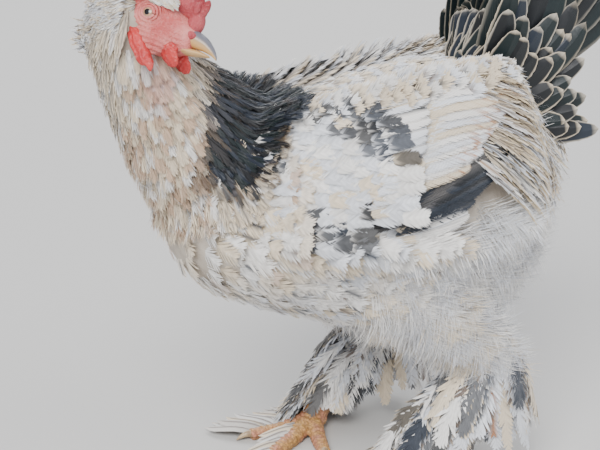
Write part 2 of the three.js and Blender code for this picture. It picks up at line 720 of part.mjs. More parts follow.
function footFeathers(leg, grow) {
  const rows = [
    { toe: TOES[2], from: 0.12, count: 3, tilt: 62 },
    { toe: TOES[1], from: 0.25, count: 2, tilt: 42 },
  ];
  return rows.flatMap(({ toe, from, count, tilt }, row) =>
    Array.from({ length: count }, (_, k) => {
      const s = from + 0.26 * k;
      const heading = toeHeading(leg, toe);
      const angle = leg.side * rad(tilt - 6 * k);
      const way = heading.clone().applyAxisAngle(v(0, 0, 1), angle);
      const root = toeLine(leg, toe)(s).add(v(0, 0, 2 + 1.5 * row));
      const length = 44 - 7 * row;
      const path = [0, 0.35, 0.7, 1].map((u) => {
        const height = mix(root.z + 3 * Math.sin(Math.PI * u), 3 + 1.7 * k, u);
        return root.clone().addScaledVector(way, length * u).setZ(height);
      });
      return vane(path, path.map(() => v(0, 0, 1)), { width: 18 }, grow);
    }),
  );
}

// Everything under the floor is cut away, which gives the pads their flats.
const BELOW_FLOOR = loft(
  v(0, 0, -60),
  [-50, 0].map((z) => [v(-400, -400, z), v(400, -400, z), v(400, 400, z), v(-400, 400, z)]),
  v(0, 0, 0),
);

const fuse = (pieces) => pieces.flat().reduce((sum, piece) => sum.add(piece));
const largest = (body) => body.decompose().reduce((a, b) => (a.volume() > b.volume() ? a : b));

// Each sub-part: its pieces, what is cut from it, the neighbours that it stays clear of, and its finish.
const finish = (color, roughness) => ({ color, roughness, metalness: 0 });
const WHITE_COAT = finish(0xdcd8cf, 0.85);
const CREAM_COAT = finish(0xd9c8ae, 0.85);
const BLACK_COAT = finish(0x20242a, 0.5);
const RED_SKIN = finish(0xb5433f, 0.6);
const HORN = finish(0xc9a878, 0.4);
const YELLOW_SKIN = finish(0xd2a873, 0.6);
const EYE = finish(0xb06a3a, 0.15);

const shapes = new Map();
const add = (name, pieces, clearOf, look, cuts = () => []) => shapes.set(name, { pieces, clearOf, look, cuts });

add("trunk", (g) => [trunkBody(g), ...saddleHackles(g)], [], WHITE_COAT);
add("eye_left", (g) => [eye(LEFT, g)], [], EYE);
add("eye_right", (g) => [eye(RIGHT, g)], [], EYE);
add("head", headBody, ["eye_left", "eye_right"], RED_SKIN);
add("beak_upper", (g) => [beakUpper(g)], ["head"], HORN, nostrils);
add("beak_lower", (g) => [beakLower(g)], ["head", "beak_upper"], HORN);
add("comb", comb, ["head", "beak_upper"], RED_SKIN);
for (const [name, side] of [["left", LEFT], ["right", RIGHT]]) {
  add(`wattle_${name}`, (g) => wattle(side, g), ["head", "beak_lower", "beak_upper"], RED_SKIN);
  add(`earlobe_${name}`, (g) => earlobe(side, g), ["head", `wattle_${name}`], RED_SKIN);
}
const FACE = ["head", "beak_lower", "comb", "wattle_left", "wattle_right", "earlobe_left", "earlobe_right"];
add("neck", (g) => [neckCore(g), ...neckHackles(g)], [...FACE, "trunk"], CREAM_COAT);
for (const [name, side] of [["left", LEFT], ["right", RIGHT]]) {
  add(`wing_${name}`, (g) => [wingArm(side, g), ...wingQuills(side, g)], ["trunk", "neck"], WHITE_COAT);
}
add("tail", (g) => [tailStump(g), ...tailFeathers(g)], ["trunk", "wing_left", "wing_right"], BLACK_COAT);
for (const [name, leg] of Object.entries(LEGS)) {
  const thigh = `thigh_${name}`;
  add(thigh, (g) => [thighBody(leg, g), ...hockFeathers(leg, g)], ["trunk", `wing_${name}`], WHITE_COAT);
  add(`shank_${name}`, (g) => [shankBody(leg, g), ...shankFeathers(leg, g)], [thigh], YELLOW_SKIN);
  const toes = (g) => [footPad(leg, g), ...TOES.map((toe) => toeBody(leg, toe, g))];
  const foot = (g) => [...toes(g), ...footFeathers(leg, g)];
  add(`foot_${name}`, foot, [`shank_${name}`], YELLOW_SKIN, () => [BELOW_FLOOR]);
  for (const toe of TOES) add(`claw_${name}_${toe.name}`, (g) => [claw(leg, toe, g)], [`foot_${name}`], HORN);
}

// The bird: one named mesh for each sub-part.
const bird = new THREE.Group();
const grown = new Map();
function swollen(name) {
  if (!grown.has(name)) grown.set(name, fuse(shapes.get(name).pieces(GAP)));
  return grown.get(name);
}
for (const [name, { pieces, clearOf, look, cuts }] of shapes) {
  let body = fuse(pieces(0));
  for (const other of clearOf) body = body.subtract(swollen(other));
  for (const cut of cuts()) body = body.subtract(cut);
  const surface = largest(body).getMesh();
  const geometry = new THREE.BufferGeometry()
    .setAttribute("position", new THREE.BufferAttribute(Float32Array.from(surface.vertProperties), 3))
    .setIndex(new THREE.BufferAttribute(Uint32Array.from(surface.triVerts), 1));
  geometry.computeVertexNormals();
  const mesh = new THREE.Mesh(geometry, new THREE.MeshStandardMaterial(look));
  mesh.name = name;
  bird.add(mesh);
}

// The origin is on the floor, under the middle of the bird's box.
const box = new THREE.Box3().setFromObject(bird);
const middle = box.getCenter(new Vector3());
bird.position.set(-middle.x, -middle.y, -box.min.z);

export default bird;
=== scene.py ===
# Looks for a life-size Brahma cock: skin, feathers by tract, bare red head, horn and scaled feet.
# Shapes are worked out in millimetres in the bird's own layout and placed in metres in the frame.
import math

import bmesh
import bpy
import numpy as np
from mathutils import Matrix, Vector


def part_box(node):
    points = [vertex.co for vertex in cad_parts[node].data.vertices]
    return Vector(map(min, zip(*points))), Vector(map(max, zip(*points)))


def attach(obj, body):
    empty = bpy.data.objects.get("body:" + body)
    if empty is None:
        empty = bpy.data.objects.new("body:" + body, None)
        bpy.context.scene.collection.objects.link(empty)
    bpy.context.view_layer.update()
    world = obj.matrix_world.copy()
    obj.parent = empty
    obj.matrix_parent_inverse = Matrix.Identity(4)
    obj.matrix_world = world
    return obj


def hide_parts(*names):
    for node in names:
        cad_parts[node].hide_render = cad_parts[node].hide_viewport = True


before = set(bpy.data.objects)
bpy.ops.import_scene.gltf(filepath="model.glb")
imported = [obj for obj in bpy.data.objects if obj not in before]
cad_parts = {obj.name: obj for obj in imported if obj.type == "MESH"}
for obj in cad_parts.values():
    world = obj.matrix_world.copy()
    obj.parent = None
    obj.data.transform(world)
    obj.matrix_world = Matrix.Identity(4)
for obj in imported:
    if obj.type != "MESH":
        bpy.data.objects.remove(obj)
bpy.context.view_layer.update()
rng = np.random.default_rng(7)
LEFT, RIGHT = 1, -1
SIDES = {"left": LEFT, "right": RIGHT}

# The trunk's cross-sections: place along X, height of the axis, half width, reach up and reach down.
TRUNK = np.array([
    [-113, 222, 0, 0, 0],
    [-106, 222, 36, 38, 34],
    [-86, 222, 73, 62, 57],
    [-48, 221, 99, 78, 74],
    [0, 219, 109, 89, 90],
    [50, 217, 111, 97, 106],
    [95, 217, 107, 105, 114],
    [135, 219, 96, 104, 113],
    [168, 221, 78, 84, 98],
    [192, 222, 52, 54, 68],
    [206, 222, 26, 28, 35],
    [211, 222, 0, 0, 0],
], float)
TRUNK_FRONT, TRUNK_BACK = -113.0, 211.0

# The neck's axis, its radius over the coat and the heading of its throat.
NECK = np.array([
    [-42, 0, 222, 58, 180],
    [-76, -4, 268, 56, 190],
    [-108, -15, 308, 43, 218],
    [-130, -27, 342, 35, 250],
    [-141, -36, 370, 31, 280],
    [-141, -42, 393, 22, 300],
], float)

# The folded wing with its quills, as a thickness over the trunk.
WING = {"front": -66, "back": 150, "top": 30, "low": 88, "stack": 20}


def unit(a):
    return a / np.maximum(np.linalg.norm(a, axis=-1, keepdims=True), 1e-9)


def vec(*xyz):
    return np.array(xyz, float)


def mix(a, b, t):
    return a + (b - a) * t


def smoothstep(x, low, high):
    t = np.clip((x - low) / (high - low), 0, 1)
    return t * t * (3 - 2 * t)


SKULL = vec(-124, -50, 379)
FORWARD = unit(vec(0.604, -0.774, -0.193))
UP = unit(vec(0.448, 0.129, 0.884))
SIDE = np.cross(FORWARD, UP)
EYE_RADIUS = 6.2
EYE_SIDE = 13.2

LEGS = {
    "left": {
        "side": LEFT,
        "knee": vec(48, -66, 172),
        "hock": vec(130, -74, 99),
        "ankle": vec(48, -62, 16),
        "turn": 8,
    },
    "right": {
        "side": RIGHT,
        "knee": vec(46, 62, 168),
        "hock": vec(110, 64, 90),
        "ankle": vec(30, 46, 16),
        "turn": -38,
    },
}
THIGH_RADIUS = 36
SHANK_RADIUS = 9.5
PAD_HEIGHT = 0.0002  # in metres
ANKLE_HEIGHT = 16
# Each toe: its turn from straight ahead in degrees, its length and its radius.
TOES = {"inner": (-40, 50, 7.4), "middle": (0, 64, 8.0), "outer": (38, 52, 7.4), "hind": (162, 27, 6.6)}
TAIL_ROOT = vec(158, 0, 306)

# The fleshy stump that carries the tail, along its own axes.
STUMP = vec(158, 0, 296)
STUMP_AXES = np.array([vec(0.7, 0, 0.7), vec(0, 1, 0), vec(-0.7, 0, 0.7)])
STUMP_RADII = np.array([36, 27, 34])


def head_point(forward, up, side):
    return SKULL + FORWARD * forward + UP * up + SIDE * side


# The shift from the layout to the frame, from where the left eye stands in both.
eye_low, eye_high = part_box("eye_left")
SHIFT = np.array((eye_low + eye_high) / 2) * 1000 - head_point(0, 0, -EYE_SIDE)


def placed(points):
    """Layout millimetres to frame metres."""
    return (np.asarray(points) + SHIFT) / 1000


# Curves through the tables.
def column(table, key):
    """Monotone cubic through one column of a table, by its first column."""
    xs, ys = table[:, 0], table[:, key]
    d = np.diff(ys) / np.diff(xs)
    slopes = np.zeros_like(ys)
    same = d[:-1] * d[1:] > 0
    slopes[1:-1][same] = (2 * d[:-1] * d[1:])[same] / (d[:-1] + d[1:])[same]
    slopes[0], slopes[-1] = 2 * d[0], 2 * d[-1]

    def at(x):
        x = np.clip(x, xs[0], xs[-1])
        k = np.clip(np.searchsorted(xs, x, side="right") - 1, 0, len(xs) - 2)
        span = xs[k + 1] - xs[k]
        t = (x - xs[k]) / span
        return (
            (2 * t**3 - 3 * t**2 + 1) * ys[k]
            + (t**3 - 2 * t**2 + t) * span * slopes[k]
            + (3 * t**2 - 2 * t**3) * ys[k + 1]
            + (t**3 - t**2) * span * slopes[k + 1]
        )

    return at


trunk_axis, trunk_side, trunk_up, trunk_down = (column(TRUNK, key) for key in (1, 2, 3, 4))


def trunk_surface(x, angle):
    reach = np.where(np.cos(angle) > 0, trunk_up(x), trunk_down(x))
    across = -trunk_side(x) * np.sin(angle)
    return np.stack([x + 0 * angle, across, trunk_axis(x) + reach * np.cos(angle)], -1)


def trunk_normal(x, angle):
    along = trunk_surface(x + 1, angle) - trunk_surface(x - 1, angle)
    around = trunk_surface(x, angle + 0.02) - trunk_surface(x, angle - 0.02)
    return unit(np.cross(around, along))


def trunk_point(x, angle, out=0.0):
    x, angle = np.broadcast_arrays(np.asarray(x, float), np.asarray(angle, float))
    return trunk_surface(x, angle) + trunk_normal(x, angle) * np.asarray(out)[..., None]


NECK_SAMPLES = 64


def neck_line():
    """Samples of the neck's axis, radius and throat heading, from the base up."""
    points = NECK[:, :3]
    ends = np.vstack([2 * points[0] - points[1], points, 2 * points[-1] - points[-2]])
    t = np.linspace(0, 1, NECK_SAMPLES)
    spot = np.clip(t * (len(points) - 1), 0, len(points) - 1 - 1e-9)
    k = spot.astype(int)
    w = (spot - k)[:, None]
    a, b, c, d = (ends[k + i] for i in range(4))
    d0, d1, d2 = (np.sqrt(np.linalg.norm(q - p, axis=1))[:, None] for p, q in ((a, b), (b, c), (c, d)))
    t1 = ((b - a) / d0 - (c - a) / (d0 + d1) + (c - b) / d1) * d1
    t2 = ((c - b) / d1 - (d - b) / (d1 + d2) + (d - c) / d2) * d1
    axis = b + t1 * w + (3 * (c - b) - 2 * t1 - t2) * w**2 + (2 * (b - c) + t1 + t2) * w**3
    table = np.column_stack([np.linspace(0, 1, len(points)), NECK[:, 3], NECK[:, 4]])
    return t, axis, unit(np.gradient(axis, axis=0)), column(table, 1)(t), column(table, 2)(t)


NECK_T, NECK_AXIS, NECK_ALONG, NECK_RADIUS, NECK_THROAT = neck_line()


def neck_at(t, angle):
    """Centre, way out, way up and radius of the neck's coat, at an angle from the throat to the left."""
    read = lambda values: np.stack([np.interp(t, NECK_T, values[:, i]) for i in range(3)], -1)
    heading = np.radians(np.interp(t, NECK_T, NECK_THROAT)) + angle
    along = unit(read(NECK_ALONG))
    flat = np.stack([np.cos(heading), np.sin(heading), 0 * heading], -1)
    out = unit(flat - along * np.sum(flat * along, -1, keepdims=True))
    return read(NECK_AXIS), out, along, np.interp(t, NECK_T, NECK_RADIUS)


def wing_thickness(x, angle):
    degrees = np.degrees(np.abs(angle))
    along = smoothstep(x, WING["front"] - 6, WING["front"] + 30)
    along = along * (1 - smoothstep(x, WING["back"], WING["back"] + 30))
    around = smoothstep(degrees, WING["top"] - 22, WING["top"])
    around = around * (1 - smoothstep(degrees, WING["low"], WING["low"] + 20))
    return WING["stack"] * along * around


def trunk_coat(p):
    x = np.clip(p[:, 0], TRUNK_FRONT + 3, TRUNK_BACK - 3)
    lift = p[:, 2] - trunk_axis(x)
    reach = np.where(lift > 0, trunk_up(x), trunk_down(x))
    angle = np.arctan2(-p[:, 1] / trunk_side(x), lift / reach)
    out = trunk_normal(x, angle)
    height = np.sum((p - trunk_surface(x, angle)) * out, -1) - wing_thickness(x, angle)
    return height, out


def limb_coat(p, a, b, ra, rb):
    t = np.clip((p - a) @ (b - a) / np.dot(b - a, b - a), 0, 1)
    away = p - (a + (b - a) * t[:, None])
    gap = np.linalg.norm(away, axis=1)
    return gap - mix(ra, rb, t), away / np.maximum(gap, 1e-6)[:, None]


def neck_coat(p):
    gap = np.linalg.norm(p[:, None] - NECK_AXIS[None], axis=2) - NECK_RADIUS
    k = np.argmin(gap, axis=1)
    return gap[np.arange(len(p)), k], unit(p - NECK_AXIS[k])


BLEND = 5.0  # how softly the body's parts run into one another, in millimetres


def coat(p):
    """Height of points above the body with its folded wings, and the way out there."""
    parts = [trunk_coat(p), neck_coat(p)]
    parts += [limb_coat(p, leg["knee"], leg["hock"], THIGH_RADIUS, 20) for leg in LEGS.values()]
    heights = np.stack([height for height, _ in parts])
    low = heights.min(0)
    weights = np.exp(-(heights - low) / BLEND)
    out = unit(sum(w[:, None] * o for w, (_, o) in zip(weights, parts)))
    return low - BLEND * np.log(weights.sum(0)), out


# Meshes.
def new_object(name, mesh):
    piece = bpy.data.objects.new(name, mesh)
    bpy.context.collection.objects.link(piece)
    return piece


def finish(piece, material, slot, *nodes, smooth=True):
    """Every piece rides on the one body and hides the nodes that it stands for; slot is not used."""
    if material:
        piece.data.materials.clear()
        piece.data.materials.append(material)
    if smooth:
        piece.data.shade_smooth()
    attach(piece, "root")
    if nodes:
        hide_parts(*nodes)
    return piece


def from_bmesh(name, bm):
    mesh = bpy.data.meshes.new(name)
    bmesh.ops.recalc_face_normals(bm, faces=bm.faces)
    bm.to_mesh(mesh)
    bm.free()
    return new_object(name, mesh)


def shaped_ball(bm, around, rows, shape):
    """A ball whose points are moved by shape(angle round, share from one pole to the other)."""
    made = bmesh.ops.create_uvsphere(bm, u_segments=around, v_segments=rows, radius=1.0)
    verts = made["verts"]
    co = np.array([v.co for v in verts])
    turn = np.arctan2(co[:, 1], co[:, 0])
    share = np.arccos(np.clip(co[:, 2], -1, 1)) / math.pi
    for vert, point in zip(verts, placed(shape(turn, share))):
        vert.co = Vector(point)
    return verts


def pebble(bm, centre, axes, radii, around=24, rows=14):
    a, b, c = (np.asarray(axis) * radius for axis, radius in zip(axes, radii))

    def shape(turn, share):
        ring = np.sin(math.pi * share)
        return (
            centre
            + np.cos(math.pi * share)[:, None] * a
            + (ring * np.cos(turn))[:, None] * b
            + (ring * np.sin(turn))[:, None] * c
        )

    return shaped_ball(bm, around, rows, shape)


def tube(bm, line, radius, around=16, rows=20, flatten=1.0):
    """A closed round form along a line, line(t) and radius(t) for t from 0 to 1."""

    def shape(turn, share):
        # The first and last twentieth of the share closes the ends.
        t = np.clip((share - 0.05) / 0.9, 0, 1)
        close = np.minimum(1, np.minimum(share, 1 - share) / 0.05) ** 0.5
        centre = line(t)
        along = unit(line(np.minimum(t + 0.02, 1)) - line(np.maximum(t - 0.02, 0)))
        across = unit(np.cross(along, vec(0, 0, 1)))
        up = np.cross(across, along)
        r = (radius(t) * close)[:, None]
        return centre + r * (np.cos(turn)[:, None] * across + flatten * np.sin(turn)[:, None] * up)

    return shaped_ball(bm, around, rows, shape)


def fused(piece, voxel, smoothing):
    """The piece remeshed into one closed skin and smoothed."""
    remesh = piece.modifiers.new("one skin", "REMESH")
    remesh.mode = "VOXEL"
    remesh.voxel_size = voxel / 1000
    relax = piece.modifiers.new("soft", "SMOOTH")
    relax.factor = 0.5
    relax.iterations = smoothing
    graph = bpy.context.evaluated_depsgraph_get()
    mesh = bpy.data.meshes.new_from_object(piece.evaluated_get(graph))
    piece.modifiers.clear()
    piece.data = mesh
    return piece


def moved(piece, shift):
    """Each point of the piece moved along its normal by shift(points in layout millimetres, normals)."""
    mesh = piece.data
    count = len(mesh.vertices)
    co = np.empty(count * 3)
    normal = np.empty(count * 3)
    mesh.vertices.foreach_get("co", co)
    mesh.vertices.foreach_get("normal", normal)
    points = co.reshape(-1, 3) * 1000 - SHIFT
    normals = normal.reshape(-1, 3)
    points = points + normals * shift(points, normals)[:, None]
    mesh.vertices.foreach_set("co", placed(points).ravel())
    mesh.update()


# Feathers. A tract is a set of roots with headings; its paths lie along the coat.
def march(roots, headings, lengths, rows, lift, hang=0.0, cling=1.0):
    """Paths from the roots that follow the coat and end at the given height above it."""
    n = len(roots)
    path = np.empty((n, rows + 1, 3))
    outs = np.empty_like(path)
    path[:, 0] = roots
    base, outs[:, 0] = coat(roots)
    way = unit(np.broadcast_to(headings, roots.shape).copy())
    step = (np.broadcast_to(lengths, n) / rows)[:, None]
    lift = np.broadcast_to(lift, n)
    for k in range(1, rows + 1):
        spot = path[:, k - 1] + way * step
        height, out = coat(spot)
        wanted = mix(base, lift, k / rows)
        pull = np.where(height < wanted, 1.0, cling)
        spot = spot + out * ((wanted - height) * pull)[:, None]
        way = unit(spot - path[:, k - 1])
        way[:, 2] -= hang
        way = unit(way)
        path[:, k] = spot
        outs[:, k] = out
    return path, outs


# Outlines: half width as a share of the whole, from the root to the tip.
def rounded(t):
    return (0.35 + 0.65 * smoothstep(t, 0, 0.35)) * np.clip(1 - np.clip(t, 0, 1) ** 4, 0, 1) ** 0.5


def leaf(t):
    return (0.3 + 0.7 * smoothstep(t, 0, 0.5)) * np.clip(1 - np.clip(t, 0, 1) ** 3.2, 0, 1) ** 0.5


def lance(t):
    return (0.45 + 0.55 * smoothstep(t, 0, 0.25)) * np.clip(1 - t, 0, 1) ** 0.62


def blade(t):
    return (0.3 + 0.7 * smoothstep(t, 0, 0.2)) * np.clip(1 - t**5, 0, 1) ** 0.6


def jitter(n, low, high):
    return rng.uniform(low, high, n)


def frames(path, outs, tilt=0.0):
    along = unit(np.gradient(path, axis=1))
    across = unit(np.cross(along, outs))
    face = np.cross(across, along)
    tilt = np.broadcast_to(tilt, len(path))[:, None, None]
    return along, across * np.cos(tilt) + face * np.sin(tilt), face * np.cos(tilt) - across * np.sin(tilt)


def unwrap(points):
    """Places on an unwrap of the body's own shape: round it and along it, legs in a strip of their own."""
    x, y, z = points[:, 0], points[:, 1], points[:, 2]
    turn = np.arctan2(-y, z - trunk_axis(x)) / (2 * math.pi) + 0.5
    u = mix(0.02, 0.96, turn)
    v = mix(0.30, 0.66, np.clip((x - TRUNK_FRONT) / (TRUNK_BACK - TRUNK_FRONT), 0, 1))
    leg = z < 110
    centre = np.where(y < 0, LEGS["left"]["hock"][1], LEGS["right"]["hock"][1])
    round_leg = np.arctan2(y - centre, x - 70) / (2 * math.pi) + 0.5
    u = np.where(leg, mix(0.02, 0.47, round_leg) + np.where(y < 0, 0, 0.49), u)
    v = np.where(leg, mix(0.02, 0.27, np.clip(z / 110, 0, 1)), v)
    t, neck = neck_place(points)
    u = np.where(neck, mix(0.02, 0.96, t[1]), u)
    v = np.where(neck, mix(0.70, 0.98, t[0]), v)
    return np.stack([u, v], -1)


def neck_place(points):
    """Share of the way up the neck and round it, and which points belong to the neck or the head."""
    gap = np.linalg.norm(points[:, None] - NECK_AXIS[None], axis=2)
    k = np.argmin(gap, axis=1)
    away = points - NECK_AXIS[k]
    turn = np.arctan2(away[:, 1], away[:, 0]) / (2 * math.pi) + 0.5
    owner = (NECK_T[k] > 0.2) & (gap[np.arange(len(points)), k] < NECK_RADIUS[k] + 12) & (points[:, 0] < -20)
    return (NECK_T[k], turn), owner


PATCH = 0.003  # side of one feather's patch on the unwrap
FLOOR_CLEARANCE = 0.6


class Coat:
    """Collects feathers of one finish and joins them into one mesh."""

    def __init__(self):
        self.points, self.faces, self.colours, self.place, self.bake = [], [], [], [], []
        self.count = 0

    def add(self, points, faces, colours, place, roots):
        """points and colours are (feathers, points, 3), place is (points, 2), faces index one feather."""
        n, m = points.shape[:2]
        starts = self.count + np.arange(n)[:, None, None] * m
        self.faces.append((faces[None] + starts).reshape(-1, faces.shape[1]))
        points = points.reshape(-1, 3)
        points[:, 2] = np.maximum(points[:, 2], FLOOR_CLEARANCE)
        self.points.append(points)
        self.colours.append(np.clip(colours, 0, 1).reshape(-1, 3))
        self.place.append(np.broadcast_to(place, (n, m, 2)).reshape(-1, 2))
        corner = (place - [0, 0.5]) * [0.5, 1] * PATCH
        self.bake.append((unwrap(roots)[:, None] + corner[None]).reshape(-1, 2))
        self.count += n * m

    def vanes(self, path, outs, width, outline, paint, cols=5, cup=0.16, tilt=0.0, fray=0.06, thick=0.0):
        """Leaf-shaped vanes along paths, with frayed edges and a raised shaft."""
        n, rows = path.shape[0], path.shape[1] - 1
        along, across, face = frames(path, outs, tilt)
        t = np.linspace(0, 1, rows + 1)
        u = np.linspace(-1, 1, cols)
        share = outline(t)[None, :, None] * (1 + jitter((n, rows + 1, cols), -fray, fray) * (np.abs(u) > 0.9))
        half = (np.broadcast_to(width, n)[:, None, None] / 2) * share
        side = half * u
        drop = -cup * half * u**2 + thick * (1 - np.abs(u)) ** 2
        points = path[:, :, None] + across[:, :, None] * side[..., None] + face[:, :, None] * drop[..., None]
        place = np.stack(np.meshgrid(t, u, indexing="ij")[::-1], -1).reshape(-1, 2)
        grid = np.arange((rows + 1) * cols).reshape(rows + 1, cols)
        faces = np.stack([grid[:-1, :-1], grid[:-1, 1:], grid[1:, 1:], grid[1:, :-1]], -1).reshape(-1, 4)
        colours = paint(n, place[None, :, 0], place[None, :, 1], path[:, 0])
        self.add(points.reshape(n, -1, 3), faces, colours, place, path[:, 0])

    def barbed(
        self, path, outs, width, outline, paint, barbs=18, cover=1.35, spread=0.7,
        ragged=0.15, curl=0.1, cup=0.12, close=0.7, tilt=0.0,
    ):
        """Feathers drawn barb by barb: closed vanes when cover is over one, loose plumes well under it."""
        n, rows = path.shape[0], path.shape[1] - 1
        along, across, face = frames(path, outs, tilt)
        length = np.linalg.norm(np.diff(path, axis=1), axis=2).sum(1)[:, None]
        t = np.repeat(np.linspace(0.02, 0.98, barbs), 2)
        hand = np.tile([-1.0, 1.0], barbs)
        k = np.minimum((t * rows).astype(int), rows - 1)
        w = (t * rows - k)[None, :, None]
        at = lambda values: values[:, k] * (1 - w) + values[:, k + 1] * w
        root, way, out_side, out_face = at(path), unit(at(along)), unit(at(across)), unit(at(face))
        m = 2 * barbs
        half = np.broadcast_to(width, n)[:, None] / 2 * outline(t)[None]
        reach = half / math.sin(spread) * jitter((n, m), 1 - 0.4 * ragged, 1 + 0.35 * ragged)
        lean = spread * (1 + jitter((n, m), -0.3, 0.3) * ragged)
        rise = jitter((n, m), -0.3, 0.45) * ragged - cup
        side = out_side * hand[None, :, None]
        slender = float(np.mean(width) / np.mean(length))
        pieces, place = [], []
        for share, taper in ((0.0, 1.0), (close, 0.85), (1.0, 0.0)):
            bend = lean * (1 - curl * share)
            direction = side * np.sin(bend)[..., None] + way * np.cos(bend)[..., None]
            direction = direction + out_face * (rise * share)[..., None]
            centre = root + direction * (reach * share)[..., None]
            thick = (length / barbs * cover / 2 * taper)[..., None]
            for edge in ((-1, 1) if taper else (0,)):
                pieces.append(centre + way * (thick * edge))
                tip = t + share * math.cos(spread) / math.sin(spread) * outline(t) * 0.5 * slender
                place.append(np.stack([hand * share * outline(t) ** 0.5, tip], -1))
        points = np.stack(pieces, 2).reshape(n, m * 5, 3)
        spots = np.stack(place, 1).reshape(m * 5, 2)
        first = np.arange(m)[:, None] * 5
        quads = first + np.array([0, 1, 3, 2])
        tips = first + np.array([2, 3, 4])
        colours = paint(n, spots[None, :, 0], spots[None, :, 1], path[:, 0])
        self.add_mixed(points, [quads, tips], colours, spots, path[:, 0])

    def plumes(self, path, outs, width, paint, barbs=20):
        """Loose downy feathers: a fine shaft with long free barbs on both sides."""
        self.barbed(path, outs, width, lance, paint, barbs, 0.42, 0.5, 1.0, -0.3, 0.0, 0.55)

    def add_mixed(self, points, groups, colours, place, roots):
        """As add, for quads and triangles over the same points."""
        start = self.count
        self.add(points, groups[0], colours, place, roots)
        n, m = points.shape[:2]
        starts = start + np.arange(n)[:, None, None] * m
        self.faces.append((groups[1][None] + starts).reshape(-1, groups[1].shape[1]))

    def build(self, name, material, slot, *nodes):
        points = placed(np.concatenate(self.points))
        mesh = bpy.data.meshes.new(name)
        sizes = np.concatenate([np.full(len(f), f.shape[1]) for f in self.faces])
        loops = np.concatenate([f.ravel() for f in self.faces])
        mesh.vertices.add(len(points))
        mesh.vertices.foreach_set("co", points.ravel())
        mesh.loops.add(len(loops))
        mesh.loops.foreach_set("vertex_index", loops)
        mesh.polygons.add(len(sizes))
        mesh.polygons.foreach_set("loop_start", np.concatenate([[0], np.cumsum(sizes)[:-1]]))
        mesh.update(calc_edges=True)
        for title, values in (("OFBake", self.bake), ("Vane", self.place)):
            layer = mesh.uv_layers.new(name=title)
            layer.data.foreach_set("uv", np.concatenate(values)[loops].ravel())
        tint = mesh.attributes.new("Plumage", "FLOAT_COLOR", "POINT")
        rgba = np.column_stack([np.concatenate(self.colours), np.ones(len(points))])
        tint.data.foreach_set("color", rgba.ravel())
        mesh.validate()
        return finish(new_object(name, mesh), material, slot, *nodes)


# Colours, linear.
def colour(r, g, b):
    """An sRGB colour from 0 to 255 as a linear one."""
    c = np.array([r, g, b]) / 255
    return np.where(c <= 0.04045, c / 12.92, ((c + 0.055) / 1.055) ** 2.4)


WHITE = colour(236, 233, 228)
COOL_WHITE = colour(222, 224, 228)
CREAM = colour(228, 212, 186)
TAN = colour(168, 132, 98)
THROAT = colour(206, 177, 150)
BLUSH = colour(206, 146, 138)
BAY = colour(176, 118, 74)
GREY_BROWN = colour(112, 98, 88)
BLACK = colour(22, 24, 28)
BLUE_BLACK = colour(34, 42, 54)
GREEN_BLACK = colour(16, 30, 32)


def stain(n, *shades, weights=None):
    """One shade for each feather, drawn from a few and varied a little."""
    shades = np.array(shades)
    pick = rng.choice(len(shades), n, p=weights)
    return shades[pick] * jitter((n, 1), 0.88, 1.08)


def painter(base, mark=None, amount=None, deep=0.2):
    """Paint for a tract: base and mark give a shade for each feather, amount says where the mark shows, and
    deep is painted shade, how much each feather darkens towards its root where the feathers laid over it
    shade it, partly also the greyer down there.
    """

    def paint(n, u, v, roots):
        # Painted shade: each feather darker towards its root, under the feathers that overlap it; partly the
        # greyer down there too.
        ground = base(n, roots)[:, None] * (1 - deep + deep * smoothstep(v, 0, 0.6))[..., None]
        if mark is None:
            return ground + 0 * u[..., None]
        share = amount(u, v, n, roots)[..., None]
        return ground * (1 - share) + mark(n, roots)[:, None] * share

    return paint


def shaft_streak(width, start=0.1, end=0.95):
    """A dark streak along the shaft."""
    return lambda u, v, n, roots: (
        (1 - smoothstep(np.abs(u), width * 0.5, width * 1.6))
        * smoothstep(v, start, start + 0.15)
        * (1 - smoothstep(v, end - 0.12, end))
        + np.zeros((n, 1))
    )


def edge_lace(width):
    """A pale rim round the feather."""
    return lambda u, v, n, roots: (
        np.maximum(
            smoothstep(np.abs(u), 1 - width, 1 - width * 0.4),
            smoothstep(v, 1 - width * 0.7, 1 - width * 0.2),
        )
        + np.zeros((n, 1))
    )


def tip_mark(start, chance=1.0, width=0.8):
    """A mark towards the tip, on some feathers."""

    def amount(u, v, n, roots):
        here = (rng.random((n, 1)) < chance) * jitter((n, 1), 0.85, 1)
        return here * smoothstep(v, start, start + 0.15) * (1 - smoothstep(np.abs(u), width - 0.25, width))

    return amount


def plain(*shades, weights=None):
    return lambda n, roots: stain(n, *shades, weights=weights)


# Roots spread over the trunk and the neck in rows, every other row set half a step over.
def trunk_rows(x0, x1, gap, low, high, spacing, side=None):
    """Roots on the trunk between two places along X and two angles from the back, in degrees."""
    xs, angles = [], []
    for row, x in enumerate(np.arange(x0, x1, gap)):
        radius = float(trunk_side(x) + (trunk_up(x) + trunk_down(x)) / 2) / 2
        step = math.degrees(spacing / max(radius, 6))
        for hand in (LEFT, RIGHT) if side is None else (side,):
            spots = np.arange(low + step / 2 * (row % 2), high, step)
            xs.append(np.full(len(spots), x))
            angles.append(hand * np.radians(spots))
    xs, angles = np.concatenate(xs), np.concatenate(angles)
    xs = np.clip(xs + jitter(len(xs), -0.35, 0.35) * gap, TRUNK_FRONT + 2, TRUNK_BACK - 2)
    angles = angles + jitter(len(xs), -0.3, 0.3) * spacing / 90
    return xs, angles


def trunk_tangent(x, angle):
    return unit(trunk_surface(x + 1, angle) - trunk_surface(x - 1, angle))


